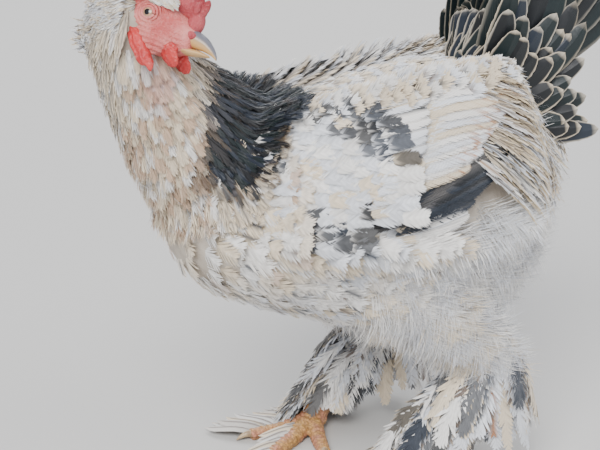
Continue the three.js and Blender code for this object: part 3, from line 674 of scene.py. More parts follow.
def neck_rows(t0, t1, rows, spacing, low, high):
    """Roots on the neck between two heights and two angles from the throat, in degrees."""
    ts, angles = [], []
    for row, t in enumerate(np.linspace(t0, t1, rows)):
        step = math.degrees(spacing / float(np.interp(t, NECK_T, NECK_RADIUS)))
        spots = np.arange(low + step / 2 * (row % 2), high, step)
        ts.append(np.full(len(spots), t))
        angles.append(np.radians(spots))
    ts, angles = np.concatenate(ts), np.concatenate(angles)
    return ts + jitter(len(ts), -0.01, 0.01), angles + jitter(len(ts), -0.04, 0.04)


# Shader maths.
class Sock:
    """A shader socket whose operators add Math nodes."""

    def __init__(self, tree, socket):
        self.tree, self.socket = tree, socket

    def math(self, operation, *others):
        node = self.tree.nodes.new("ShaderNodeMath")
        node.operation = operation
        for slot, value in zip(node.inputs, (self, *others)):
            if isinstance(value, Sock):
                self.tree.links.new(value.socket, slot)
            else:
                slot.default_value = value
        return Sock(self.tree, node.outputs[0])

    def __add__(self, other):
        return self.math("ADD", other)

    def __sub__(self, other):
        return self.math("SUBTRACT", other)

    def __rsub__(self, other):
        return (self * -1.0).math("ADD", other)

    def __mul__(self, other):
        return self.math("MULTIPLY", other)

    __radd__, __rmul__ = __add__, __mul__

    def band(self, low, high):
        """0 below low, 1 above high."""
        node = self.tree.nodes.new("ShaderNodeMapRange")
        node.interpolation_type = "SMOOTHSTEP"
        node.inputs["From Min"].default_value = low
        node.inputs["From Max"].default_value = high
        self.tree.links.new(self.socket, node.inputs["Value"])
        return Sock(self.tree, node.outputs["Result"])


class Finish:
    """A material with a Principled shader and short ways to add nodes."""

    def __init__(self, name, **fixed):
        self.material = bpy.data.materials.new(name)
        self.material.use_nodes = True
        self.tree = self.material.node_tree
        self.shader = self.tree.nodes["Principled BSDF"]
        for title, value in fixed.items():
            self.shader.inputs[title.replace("_", " ")].default_value = value

    def node(self, kind, output=0, settings=(), **sockets):
        made = self.tree.nodes.new(kind)
        for title, value in dict(settings).items():
            setattr(made, title, value)
        for title, value in sockets.items():
            slot = made.inputs[title.replace("_", " ")]
            if isinstance(value, Sock):
                self.tree.links.new(value.socket, slot)
            else:
                slot.default_value = value
        return Sock(self.tree, made.outputs[output])

    def noise(self, where, scale, detail=3.0, rough=0.55):
        return self.node("ShaderNodeTexNoise", 0, Vector=where, Scale=scale, Detail=detail, Roughness=rough)

    def mix(self, share, a, b):
        """Colour a where share is 0, b where it is 1."""
        made = self.tree.nodes.new("ShaderNodeMix")
        made.data_type = "RGBA"
        for index, value in ((0, share), (6, a), (7, b)):
            if isinstance(value, Sock):
                self.tree.links.new(value.socket, made.inputs[index])
            else:
                made.inputs[index].default_value = value if index == 0 else (*value, 1.0)
        return Sock(self.tree, made.outputs[2])

    def set(self, **inputs):
        for title, value in inputs.items():
            self.tree.links.new(value.socket, self.shader.inputs[title.replace("_", " ")])
        return self.material

    def bump(self, height, strength, distance=0.001):
        return self.node("ShaderNodeBump", 0, Height=height, Strength=strength, Distance=distance)

    def object_place(self):
        return self.node("ShaderNodeTexCoord", 3)


def feather_finish(name, barb_scale, contrast, roughness, **fixed):
    """Plumage colour from the mesh, with fine slanted barbs across each vane."""
    f = Finish(name, **fixed)
    tint = f.node("ShaderNodeAttribute", 0, {"attribute_name": "Plumage"})
    place = f.node("ShaderNodeUVMap", 0, {"uv_map": "Vane"})
    split = f.tree.nodes.new("ShaderNodeSeparateXYZ")
    f.tree.links.new(place.socket, split.inputs[0])
    u, v = Sock(f.tree, split.outputs[0]), Sock(f.tree, split.outputs[1])
    grain = f.noise(f.object_place(), 260.0, 2.0)
    slant = v * barb_scale - u.math("ABSOLUTE") * (barb_scale * 0.35) + grain * 1.4
    barbs = slant.math("SINE") * 0.5 + 0.5
    shaft = 1 - u.math("ABSOLUTE").band(0.03, 0.09)
    patch = f.noise(f.object_place(), 42.0)
    shade = (barbs * contrast + (1 - contrast)) * (patch * 0.22 + 0.89)
    colour_out = f.mix(shade, (0.0, 0.0, 0.0), tint)
    height = barbs * 0.5 + shaft * 0.8 + grain * 0.5
    return f.set(
        Base_Color=colour_out,
        Roughness=grain * 0.16 + (roughness - 0.08),
        Normal=f.bump(height, 0.35, 0.0006),
    )


pale_finish = feather_finish("pale feather", 190.0, 0.16, 0.72, Sheen_Weight=0.25, Sheen_Roughness=0.5)
hackle_finish = feather_finish("hackle feather", 150.0, 0.2, 0.55, Sheen_Weight=0.15, Sheen_Roughness=0.4)
black_finish = feather_finish(
    "black feather", 210.0, 0.3, 0.36, Sheen_Weight=0.05, Sheen_Tint=(0.3, 0.8, 0.8, 1)
)


def skin_finish():
    f = Finish("downy skin")
    place = f.object_place()
    down = f.noise(place, 220.0, 4.0)
    patches = f.noise(place, 18.0)
    return f.set(
        Base_Color=f.mix(patches.band(0.35, 0.65), colour(196, 186, 172), colour(150, 138, 124)),
        Roughness=down * 0.2 + 0.75,
        Normal=f.bump(down, 0.5, 0.002),
    )


def red_finish(name, deep, bright, wrinkle, bump):
    f = Finish(name, Subsurface_Weight=0.12, Subsurface_Scale=0.004)
    place = f.object_place()
    fine = f.noise(place, wrinkle, 5.0, 0.6)
    cells = f.node("ShaderNodeTexVoronoi", 0, Vector=place, Scale=wrinkle * 1.6)
    broad = f.noise(place, 60.0)
    base = f.mix(broad.band(0.35, 0.7), deep, bright)
    base = f.mix(fine.band(0.52, 0.75) * 0.45, base, colour(222, 150, 138))
    return f.set(
        Base_Color=f.mix((1 - cells.band(0.0, 0.35)) * 0.35, base, colour(96, 26, 26)),
        Roughness=fine * 0.25 + 0.42,
        Normal=f.bump(fine + cells * 0.8, bump, 0.0008),
    )


red_skin = red_finish("bare face skin", colour(188, 84, 80), colour(214, 132, 124), 420.0, 0.8)
lobe_skin = red_finish("lobe and wattle skin", colour(168, 34, 36), colour(200, 62, 58), 380.0, 0.6)
comb_skin = red_finish("comb skin", colour(150, 44, 52), colour(190, 84, 88), 700.0, 1.0)


def horn_finish():
    """Horn-yellow sides, blue-grey along the ridge of the bill."""
    f = Finish("bill horn", Coat_Weight=0.25, Coat_Roughness=0.2)
    ridge = f.node("ShaderNodeAttribute", 2, {"attribute_name": "ridge"})
    streaks = f.noise(f.object_place(), 300.0, 3.0)
    base = f.mix(ridge + streaks * 0.3 - 0.15, colour(206, 164, 104), colour(104, 104, 112))
    return f.set(Base_Color=base, Roughness=streaks * 0.2 + 0.28, Normal=f.bump(streaks, 0.15, 0.0005))


def claw_finish():
    f = Finish("claw horn", Coat_Weight=0.2)
    streaks = f.noise(f.object_place(), 240.0)
    base = f.mix(streaks.band(0.35, 0.7), colour(196, 170, 132), colour(142, 116, 88))
    return f.set(Base_Color=base, Roughness=streaks * 0.2 + 0.35, Normal=f.bump(streaks, 0.2, 0.0005))


def scale_finish():
    """Yellow-ochre scales with pinkish joints and dusty grooves."""
    f = Finish("leg scales", Coat_Weight=0.08)
    place = f.object_place()
    cells = f.node("ShaderNodeTexVoronoi", 0, Vector=place, Scale=420.0)
    broad = f.noise(place, 55.0)
    dirt = f.noise(place, 130.0, 4.0)
    base = f.mix(broad.band(0.38, 0.66), colour(206, 158, 92), colour(204, 140, 112))
    base = f.mix(dirt.band(0.55, 0.8) * 0.6, base, colour(128, 96, 68))
    return f.set(
        Base_Color=f.mix(cells.band(0.3, 0.6) * 0.5, base, colour(120, 84, 52)),
        Roughness=dirt * 0.3 + 0.4,
        Normal=f.bump(1 - cells + dirt * 0.3, 0.6, 0.0012),
    )


def eye_finish():
    """Dark pupil, pale orange iris with fine spokes, and a dark rim, under a wet surface."""
    f = Finish("eye", Coat_Weight=0.35, Coat_Roughness=0.05)
    ring = f.node("ShaderNodeAttribute", 2, {"attribute_name": "ring"})
    spokes = f.noise(f.object_place(), 900.0, 4.0)
    iris = f.mix(spokes.band(0.35, 0.7), colour(190, 150, 118), colour(146, 116, 96))
    iris = f.mix(ring.band(0.42, 0.5), iris, colour(70, 44, 36))
    pupil = (0.004, 0.004, 0.005)
    return f.set(Base_Color=f.mix(ring.band(0.2, 0.24), pupil, iris), Roughness=spokes * 0.05 + 0.1)


def body_skin():
    """One skin over breast, neck, rump and thighs, a little inside the coat."""
    bm = bmesh.new()
    inset = 3.0

    def trunk_shape(turn, share):
        x = mix(TRUNK_FRONT + inset, TRUNK_BACK - inset, (1 - np.cos(math.pi * share)) / 2)
        return trunk_point(x, turn, -inset)

    shaped_ball(bm, 72, 48, trunk_shape)

    def neck_shape(turn, share):
        t = np.clip((1 - np.cos(math.pi * share)) / 2, 0, 1)
        centre, out, along, radius = neck_at(t, turn)
        return centre + out * ((radius - inset) * np.sin(math.pi * share) ** 0.35)[:, None]

    shaped_ball(bm, 48, 32, neck_shape)
    for leg in LEGS.values():
        line = lambda t, leg=leg: leg["knee"] + (leg["hock"] - leg["knee"]) * t[:, None]
        tube(bm, line, lambda t: mix(THIGH_RADIUS, 17, t) - inset + 0 * t, 28, 24)
    pebble(bm, STUMP, STUMP_AXES, STUMP_RADII)
    skin = fused(from_bmesh("Body_skin", bm), 4.0, 6)
    return finish(skin, skin_finish(), "pale_coat", "trunk", "neck", "thigh_left", "thigh_right")


# Breast, flanks, belly and rump.
def breast_feathers():
    tract = Coat()
    x, angle = trunk_rows(-111, 64, 8, 20, 180, 8.5)
    clear = (x < -58) | (np.degrees(np.abs(angle)) > 88)
    x, angle = x[clear], angle[clear]
    n = len(x)
    heading = trunk_tangent(x, angle) + trunk_normal(x, angle) * 0.15 + vec(0, 0, -0.25)
    under_cape = smoothstep(trunk_point(x, angle)[:, 2], 236, 256)
    roots = trunk_point(x, angle, -7)
    path, outs = march(roots, heading, jitter(n, 30, 40), 6, jitter(n, -1, 2.5) - 5 * under_cape)

    def ground(n, roots):
        low = smoothstep(roots[:, 2], 225, 165)[:, None]
        front = smoothstep(roots[:, 0], -40, -70)[:, None]
        warm = mix(
            stain(n, WHITE, COOL_WHITE, CREAM, weights=[0.45, 0.25, 0.3]),
            stain(n, CREAM, THROAT, WHITE, weights=[0.5, 0.12, 0.38]),
            front,
        )
        return mix(warm, stain(n, WHITE, COOL_WHITE, CREAM, weights=[0.5, 0.25, 0.25]), low)

    marks = painter(ground, plain(GREY_BROWN, BLUE_BLACK), tip_mark(0.6, 0.1, 0.5))
    tract.barbed(path, outs, jitter(n, 18, 23), rounded, marks, barbs=17, ragged=0.3)
    return tract.build("Breast_feathers", pale_finish, "pale_coat")


def fluff():
    """Soft plumes on the belly, the flanks and the rump."""

    def ground(n, roots):
        rear = smoothstep(roots[:, 0], 150, 200)[:, None]
        shades = stain(n, WHITE, COOL_WHITE, colour(196, 196, 200), weights=[0.55, 0.33, 0.12])
        return shades * (1 - 0.5 * rear) + stain(n, CREAM, WHITE) * 0.5 * rear

    # Each region: reach along X, gap between rows, degrees from the back and spacing in a row.
    regions = {
        "Flank_fluff": (6, 96, 9, 86, 180, 9),
        "Belly_fluff": (96, 150, 9, 80, 180, 9),
        "Rump_fluff": (150, 209, 8, 14, 180, 8.5),
    }
    for name, (x0, x1, gap, low, high, spacing) in regions.items():
        tract = Coat()
        x, angle = trunk_rows(x0, x1, gap, low, high, spacing)
        n = len(x)
        heading = trunk_tangent(x, angle) * 0.8 + trunk_normal(x, angle) * 0.35 + vec(0, 0, -0.55)
        heading = heading + jitter((n, 3), -0.28, 0.28)
        roots = trunk_point(x, angle, -6)
        path, outs = march(roots, heading, jitter(n, 38, 56), 5, jitter(n, -2, 5), cling=0.8)
        # deep=0.5: stronger painted shade at each plume's root, partly the grey down, so the plumes stand
        # apart.
        tract.plumes(path, outs, jitter(n, 28, 40), painter(ground, deep=0.5), barbs=24)
        tract.build(name, pale_finish, "pale_coat")


def back_feathers():
    tract = Coat()
    x, angle = trunk_rows(-50, 150, 9, 0, 36, 8.5)
    n = len(x)
    heading = trunk_tangent(x, angle) + vec(0, 0, -0.05)
    roots = trunk_point(x, angle, -5)
    path, outs = march(roots, heading, jitter(n, 34, 44), 5, mix(-5, 2, smoothstep(x, -50, 10)))
    shades = plain(WHITE, CREAM, COOL_WHITE, weights=[0.4, 0.35, 0.25])
    marks = painter(shades, plain(GREY_BROWN, BLUE_BLACK), shaft_streak(0.25, 0.2, 0.9))
    tract.barbed(path, outs, jitter(n, 16, 21), rounded, marks, barbs=18, ragged=0.3)
    return tract.build("Back_feathers", pale_finish, "pale_coat")


# Neck: hackles from the crown down to the cape.
def hackles():
    """Long narrow feathers: creamy on the nape, black on the cape, short on the throat."""
    tract = Coat()
    t, angle = neck_rows(1.0, 0.18, 38, 5.6, 0, 360)
    clear = (t < 0.84) | (np.cos(angle) < 0.6)
    t, angle = t[clear], angle[clear]
    n = len(t)
    turn = np.degrees((angle + math.pi) % (2 * math.pi) - math.pi)
    throat = smoothstep(np.abs(turn), 62, 34)
    centre, out, along, radius = neck_at(t, angle)
    roots = centre + out * (radius - 7)[:, None]
    lengths = np.interp(t, [0.18, 0.5, 1.0], [38, 58, 34]) * jitter(n, 0.85, 1.15) * (1 - 0.42 * throat)
    swing = np.cross(along, out) * jitter((n, 1), -0.1, 0.1)
    path, outs = march(roots, -along + out * 0.1 + swing, lengths, 7, jitter(n, -1, 3), hang=0.02)
    starts = np.interp(t, [0.3, 0.5, 0.85], [14, 30, 62])
    dark = np.maximum(smoothstep(turn, starts, starts + 26), smoothstep(-turn, 100, 140))
    dark = dark * smoothstep(t, 0.86, 0.6) * (1 - 0.25 * smoothstep(t, 0.5, 0.7))
    dark = dark * smoothstep(roots[:, 2], 266, 290)
    blush = 0.55 * smoothstep(np.hypot((t - 0.74) / 0.1, turn / 24), 1.2, 0.3)

    def ground(n, roots):
        pale = stain(n, CREAM, WHITE, colour(216, 202, 180), weights=[0.5, 0.2, 0.3])
        front = stain(n, THROAT, WHITE, CREAM, weights=[0.35, 0.2, 0.45])
        rim = stain(n, TAN, GREY_BROWN, BLACK, weights=[0.3, 0.4, 0.3])
        return mix(mix(mix(pale, front, throat[:, None]), BLUSH, blush[:, None]), rim, dark[:, None])

    def centre_streak(u, v, n, roots):
        width = mix(0.14, 0.95, dark)[:, None]
        strength = mix(0.75, 1.0, dark)[:, None] * (1 - 0.75 * throat * (1 - dark))[:, None]
        return strength * (1 - smoothstep(np.abs(u), width * 0.6, width * 1.25)) * smoothstep(v, 0.02, 0.2)

    def ink(n, roots):
        return mix(stain(n, GREY_BROWN, BLUE_BLACK), stain(n, BLACK, BLUE_BLACK, GREEN_BLACK), dark[:, None])

    widths = np.interp(t, [0.18, 0.6, 1.0], [13, 10.5, 7]) * jitter(n, 0.85, 1.15)
    tract.barbed(path, outs, widths, lance, painter(ground, ink, centre_streak), 20, 1.5, 0.24, 0.4, cup=0.1)
    return tract.build("Neck_hackles", hackle_finish, "hackle_coat")


# Saddle: long narrow strands that hang over the wing tips and the base of the tail.
def saddle_hackles():
    tract = Coat()
    x, angle = trunk_rows(66, 172, 6, 2, 50, 5.5)
    n = len(x)
    degrees = np.degrees(np.abs(angle))
    side = np.sign(angle)
    heading = np.stack([1 + 0 * x, -side * (0.12 + degrees / 62), -0.1 - degrees / 110], -1)
    heading = heading + jitter((n, 3), -0.12, 0.12)
    lengths = np.interp(x, [70, 172], [108, 76]) * jitter(n, 0.85, 1.15)
    lift = np.interp(x, [70, 172], [3, 13])
    path, outs = march(trunk_point(x, angle, -4), heading, lengths, 8, lift, hang=0.04)
    marks = painter(
        plain(CREAM, WHITE, colour(214, 194, 160), COOL_WHITE, weights=[0.35, 0.25, 0.2, 0.2]),
        plain(GREY_BROWN, BLACK, TAN, weights=[0.55, 0.3, 0.15]),
        shaft_streak(0.34, 0.1, 0.92),
    )
    tract.barbed(path, outs, jitter(n, 6, 9.5), lance, marks, 24, 1.5, 0.2, 0.5, cup=0.1)
    return tract.build("Saddle_hackles", hackle_finish, "hackle_coat")


# Wings.
def flank_path(side, start, end, lift, rows):
    """Paths on the flank from (x, degrees, height) to (x, degrees), at a height above the trunk."""
    s = np.linspace(0, 1, rows + 1)[None]
    x = mix(start[0][:, None], end[0][:, None], s)
    angle = side * np.radians(mix(start[1][:, None], end[1][:, None], s))
    out = mix(start[2][:, None], np.broadcast_to(lift, len(x))[:, None], np.minimum(1, 2.6 * s))
    return trunk_point(x, angle, out), trunk_normal(x, angle)


BARB = 1.7  # spacing of the barbs on a quill
SHAFT = 1.6  # width of a quill's shaft


def quills(tract, side, count, start, end, lift, width, paint, rows=12, lean=0.09):
    """One row of large feathers; start and end give the first feather's and the last feather's places."""
    k = np.linspace(0, 1, count)
    first = [mix(start[0][i], start[1][i], k) for i in range(3)]
    last = [mix(end[0][i], end[1][i], k) + jitter(count, -1.2, 1.2) for i in range(2)]
    path, outs = flank_path(side, first, last, mix(lift[0], lift[1], k), rows)
    length = np.linalg.norm(path[:, -1] - path[:, 0], axis=1).mean()
    barbs = int(length / BARB)
    tract.barbed(path, outs, width, blade, paint, barbs, 1.3, 0.75, 0.1, cup=0.04, tilt=side * lean)
    tract.vanes(path, outs, SHAFT, lance, paint, cols=3, fray=0, thick=1.2)


def wing(name, side):
    tract = Coat()
    black = Coat()
    pale_shaft = shaft_streak(0.06, 0.0, 1.0)
    primary = painter(plain(BLACK, BLUE_BLACK), plain(colour(96, 92, 90)), pale_shaft)
    quills(black, side, 8, [(-4, 85, 2), (30, 74, 2)], [(92, 77), (148, 56)], (7.0, 10.5), 21, primary)

    def dashes(u, v, n, roots):
        rows = np.sin(v * 42 + jitter((n, 1), 0, 6) + u * 3) > 0.35
        return rows * smoothstep(v, 0.6, 0.8) * (rng.random((n, u.shape[1])) < 0.75) * 0.85

    secondary = painter(
        plain(WHITE, COOL_WHITE, CREAM, weights=[0.5, 0.25, 0.25]), plain(BLACK, BAY, BAY), dashes
    )
    quills(tract, side, 12, [(28, 67, 6), (44, 36, 6)], [(88, 63), (154, 35)], (12.0, 16.0), 20, secondary)

    def slivers(u, v, n, roots):
        return smoothstep(v, 0.35, 0.6) * smoothstep(-u * side, 0.2, 0.5) * smoothstep(-u * side, 0.98, 0.8)

    covert = painter(plain(WHITE, CREAM, COOL_WHITE), plain(BLACK, BLUE_BLACK), slivers)
    quills(tract, side, 12, [(-10, 76, 9), (8, 34, 9)], [(38, 73), (76, 34)], (15.5, 17.0), 17, covert)
    quills(tract, side, 12, [(-34, 93, 2), (34, 87, 3)], [(8, 91), (84, 82)], (5.0, 8.0), 17, covert)

    # Small coverts in rows over the arm, white with clusters of blue-black tips.
    for row, (x, lift) in enumerate(zip(np.arange(-58, 26, 9.5), np.linspace(11, 17.5, 9))):
        degrees = np.arange(32 + 2.5 * (row % 2), 90 if x < -12 else 80, 5.2)
        n = len(degrees)
        start = (np.full(n, x) + jitter(n, -2, 2), degrees, np.full(n, max(lift - 6, 3)))
        end = (start[0] + jitter(n, 23, 29), degrees + jitter(n, -1.5, 1.5))
        path, outs = flank_path(side, start, end, lift + jitter(n, -0.5, 0.9), 6)
        upper = np.hypot((start[0] - 12) / 34, (degrees - 43) / 17)
        front = np.hypot((start[0] + 30) / 30, (degrees - 84) / 9)
        chance = 0.06 + 0.85 * smoothstep(upper, 1.2, 0.6) + 0.5 * smoothstep(front, 1.2, 0.6)
        dark = tip_mark(0.3, chance[:, None], 1.2)
        pale = plain(COOL_WHITE, WHITE, CREAM, weights=[0.5, 0.4, 0.1])
        paint = painter(pale, plain(BLUE_BLACK, BLACK), dark)
        tract.barbed(path, outs, jitter(n, 15, 18), rounded, paint, barbs=18, ragged=0.2)
    tract.build(f"Wing_{name}_feathers", pale_finish, "pale_coat", f"wing_{name}")
    black.build(f"Wing_{name}_primaries", black_finish, "black_coat")
    bed = bmesh.new()

    def bed_shape(turn, share):
        s = 1 - np.cos(math.pi * share)
        x = mix(-62, 96, s / 2)
        degrees = 60 - 0.07 * (x + 60) + 27 * np.cos(turn) * np.sin(math.pi * share) ** 0.5
        thick = 11 * np.sin(math.pi * share) ** 0.5 * mix(1, 0.2, smoothstep(x, 40, 96))
        return trunk_point(x, side * np.radians(degrees), thick * np.sin(turn) * (np.sin(turn) > 0) - 1)

    shaped_ball(bed, 32, 24, bed_shape)
    finish(from_bmesh(f"Wing_{name}_skin", bed), bpy.data.materials["downy skin"], "pale_coat")


# Tail.
def tail():
    tract = Coat()
    rim = plain(colour(212, 202, 184), CREAM)

    def fan(roots, lift, spread, lengths, bend, width, side, paint, outline=blade, rows=14):
        lift, spread = np.radians(lift), np.radians(spread)
        level, rise = np.cos(lift) * np.cos(spread), np.sin(lift) * np.cos(spread)
        heading = np.stack([level, -side * np.sin(spread), rise], -1)
        out = unit(np.stack([-0.25 * np.sin(lift), -side + 0 * lift, 0.25 * np.cos(lift)], -1))
        droop = unit(np.cross(out, heading)) * side
        s = np.linspace(0, 1, rows + 1)[None, :, None]
        reach = lengths[:, None, None]
        path = roots[:, None] + heading[:, None] * reach * s * (1 - 0.18 * bend * s**2)
        path = path + droop[:, None] * reach * bend * 0.5 * s**2
        outs = np.repeat(out[:, None], rows + 1, 1)
        tract.vanes(path, outs, width, outline, paint, cols=11, cup=0.14, fray=0.04, thick=1.0)

    for side in SIDES.values():
        k = np.linspace(0, 5, 8)
        roots = TAIL_ROOT + np.stack([4 - 3 * k, -side * (4 + 3.2 * k), -6 + 2.5 * k], -1)
        dark = painter(plain(BLACK, GREEN_BLACK), rim, lambda *a: 0.4 * edge_lace(0.06)(*a))
        fan(roots, 22 + 10.5 * k, 4 + 1.4 * k, 122 + 3.5 * k, 0.12, 32, side, dark)
        k = np.linspace(0, 2, 6)
        roots = TAIL_ROOT + np.stack([-10 + 3 * k, -side * (17 + 1.6 * k), 2 - 5 * k], -1)
        fan(roots, 66 - 26 * k, 12 + 4 * k, 118 - 11 * k, 0.75, 22, side, dark)
        laced = painter(plain(BLACK, GREEN_BLACK, BLUE_BLACK), rim, edge_lace(0.1))
        for row, count in enumerate((9, 9, 8)):
            k = np.linspace(0, 3.5, count)
            out_y = -side * (24 + 4 * row + 0.8 * k)
            roots = TAIL_ROOT + np.stack([-18 + 5 * k, out_y, 2 - 9 * k], -1)
            lengths = 84 - 15 * row + jitter(count, -5, 5)
            lift = 64 - 25 * k + jitter(count, -7, 7)
            fan(roots, lift, 14 + 6 * row + jitter(count, -3, 3), lengths, 0.4, 22, side, laced, leaf, 24)
        k = np.linspace(0, 1, 14)
        roots = TAIL_ROOT + np.stack([-26 + 6 * k, -side * (1 + 24 * k), 8 - 6 * k], -1)
        roots = roots + jitter((14, 3), -2, 2)
        fan(roots, 74 - 30 * k, 3 + 12 * k, 52 + jitter(14, -6, 6), 0.5, 20, side, laced, leaf, 16)
        roots = roots - vec(8, 0, 2)
        fan(roots, 58 - 24 * k, 4 + 16 * k, 42 + jitter(14, -6, 6), 0.5, 18, side, laced, leaf, 16)

    # Flat coverts that close the valley between the two halves of the tail.
    along, across = np.meshgrid(np.linspace(-0.5, 0.85, 7), np.linspace(-0.6, 0.6, 6))
    along = along.ravel() + jitter(along.size, -0.06, 0.06)
    across = across.ravel() + jitter(across.size, -0.06, 0.06)
    dome = np.sqrt(np.clip(1 - along**2 - across**2, 0, 1))
    local = np.stack([along, across, dome], -1)
    roots = STUMP + local * STUMP_RADII @ STUMP_AXES
    out = unit(local / STUMP_RADII @ STUMP_AXES)
    heading = unit(STUMP_AXES[0] + vec(0.25, 0, 0) + jitter((along.size, 3), -0.08, 0.08))
    heading = unit(heading - out * (np.sum(heading * out, 1) - 0.1)[:, None])
    s = np.linspace(0, 1, 9)[None, :, None]
    path = roots[:, None] + heading[:, None] * jitter((along.size, 1, 1), 26, 34) * s
    tract.vanes(path, np.repeat(out[:, None], 9, 1), 15, leaf, laced, cols=9, cup=0.1, fray=0.04, thick=0.6)
    return tract.build("Tail_feathers", black_finish, "black_coat", "tail")


# Thighs, hocks, shanks and feet.
def thigh_fluff(name, leg):
    tract = Coat()
    side = leg["side"]
    along = unit(leg["hock"] - leg["knee"])
    flat = unit(np.cross(along, vec(0, 1, 0)))
    across = np.cross(along, flat)
    t, turn = np.meshgrid(np.linspace(0.0, 1.05, 15), np.linspace(0, 2 * math.pi, 22, endpoint=False))
    t = t.ravel() + jitter(t.size, -0.03, 0.03)
    turn = turn.ravel() + jitter(t.size, -0.12, 0.12)
    out = np.cos(turn)[:, None] * across + np.sin(turn)[:, None] * flat
    roots = leg["knee"] + (leg["hock"] - leg["knee"]) * t[:, None]
    roots = roots + out * (mix(THIGH_RADIUS, 18, t) - 3)[:, None]
    n = len(t)
    heading = along * 0.6 + out * 0.25 + vec(0.1, 0, -0.75)
    path, outs = march(roots, heading, jitter(n, 30, 44), 5, jitter(n, 5, 11), cling=0.6)
    ground = plain(WHITE, COOL_WHITE, colour(204, 204, 208), CREAM, weights=[0.45, 0.3, 0.1, 0.15])
    tract.plumes(path, outs, jitter(n, 24, 32), painter(ground), barbs=22)

    # Stiff feathers that hang behind and outside the hock.
    n = 90
    turn = np.radians(np.linspace(-130, 130, n)) + jitter(n, -0.1, 0.1)
    out = unit(np.stack([np.cos(turn), -side * (np.sin(turn) * 0.9 + 0.25), 0 * turn], -1))
    reach = jitter(n, 44, 74)[:, None, None]
    s = np.linspace(0, 1, 9)[None, :, None]
    roots = leg["hock"] + vec(-4, 0, 4) + out * jitter((n, 1), 6, 16) + vec(0, 0, 1) * jitter((n, 1), -6, 22)
    path = roots[:, None] + out[:, None] * reach * (0.5 * s - 0.16 * s**2)
    path = path + reach * (0.1 * s * vec(1, 0, 0) - (0.45 * s + 0.55 * s**2) * vec(0, 0, 1))
    blots = plain(BLUE_BLACK, GREY_BROWN, BAY)
    blot = painter(plain(WHITE, CREAM, COOL_WHITE), blots, tip_mark(0.5, 0.3, 0.6))
    tract.barbed(path, np.repeat(out[:, None], 9, 1), jitter(n, 15, 21), rounded, blot, 26, ragged=0.4)
    return tract.build(f"Thigh_{name}_fluff", pale_finish, "pale_coat")


def foot_feathers(name, leg):
    """Feathers down the outer side of the shank and over the outer and middle toes."""
    tract = Coat()
    side = leg["side"]
    rows = 8
    s = np.linspace(0, 1, rows + 1)[None, :, None]
    n = 300
    t = np.linspace(-0.1, 0.92, n) + jitter(n, -0.03, 0.03)
    inner = np.arange(n) % 3 == 0
    turn = np.radians(jitter(n, -85, 90) + 180 * (inner & (t < 0.62)))
    out = unit(np.stack([-np.sin(turn) * 0.8, -side * np.cos(turn), 0.1 + 0 * turn], -1))
    roots = leg["hock"] + (leg["ankle"] - leg["hock"]) * t[:, None] + out * 5
    reach = np.interp(t, [0, 1], [64, 46]) * jitter(n, 0.75, 1.15) * (1 - 0.3 * inner)
    reach = (reach * (1 + 0.3 * np.maximum(np.sin(turn), 0)))[:, None, None]
    path = roots[:, None] + out[:, None] * reach * (0.8 * s - 0.3 * s**2)
    path = path + reach * (-0.28 * s * vec(1, 0, 0) - (0.25 * s + 0.42 * s**2) * vec(0, 0, 1))
    path[..., 2] = np.maximum(path[..., 2], 2.0 + jitter((n, 1), 0, 5))
    outs = np.repeat(unit(out + vec(0, 0, 0.8))[:, None], rows + 1, 1)
    blots = painter(
        plain(WHITE, CREAM, COOL_WHITE, weights=[0.6, 0.15, 0.25]),
        plain(BLUE_BLACK, BLACK, GREY_BROWN),
        tip_mark(0.3, 0.5, 1.0),
    )
    tract.barbed(path, outs, jitter(n, 17, 24), rounded, blots, 22, ragged=0.5)
    pale = plain(WHITE, CREAM, colour(214, 208, 200))
    quill = painter(pale, plain(GREY_BROWN), shaft_streak(0.1, 0.0, 1.0))
    for toe, from_s, tilt, count, length in (("outer", 0.05, 66, 14, 46), ("middle", 0.15, 42, 10, 38)):
        u = np.linspace(from_s, 0.92, count)
        heading = toe_heading(leg, toe)
        angles = side * np.radians(tilt - 26 * u) + jitter(count, -0.1, 0.1)
        way = np.stack([
            heading[0] * np.cos(angles) - heading[1] * np.sin(angles),
            heading[0] * np.sin(angles) + heading[1] * np.cos(angles),
            0 * angles,
        ], -1)
        roots = toe_line(leg, toe)(u) + vec(0, 0, 2)
        path = roots[:, None] + way[:, None] * (length * s)
        fall = jitter((count, 1), 1.8, 7)
        path[..., 2] = mix(roots[:, 2:] + 5 * np.sin(math.pi * s[..., 0]), fall, s[..., 0])
        outs = np.broadcast_to(vec(0, 0, 1), path.shape)
        tract.vanes(path, outs, jitter(count, 12, 16), blade, quill, cols=7, fray=0.1, thick=0.5)
    return tract.build(f"Foot_{name}_feathers", pale_finish, "pale_coat")


def toe_heading(leg, toe):
    angle = math.radians(180 + leg["side"] * (TOES[toe][0] + leg["turn"]))
    return vec(math.cos(angle), math.sin(angle), 0)


def toe_line(leg, toe):
    turn, length, radius = TOES[toe]
    heading = toe_heading(leg, toe)
    foot = leg["ankle"] * vec(1, 1, 0)

    def line(t):
        spot = foot + heading * (4 + length * np.asarray(t, float)[:, None])
        spot[:, 2] = mix(ANKLE_HEIGHT - 6, radius * 0.5, np.minimum(1, 2.2 * t))
        return spot

    return line


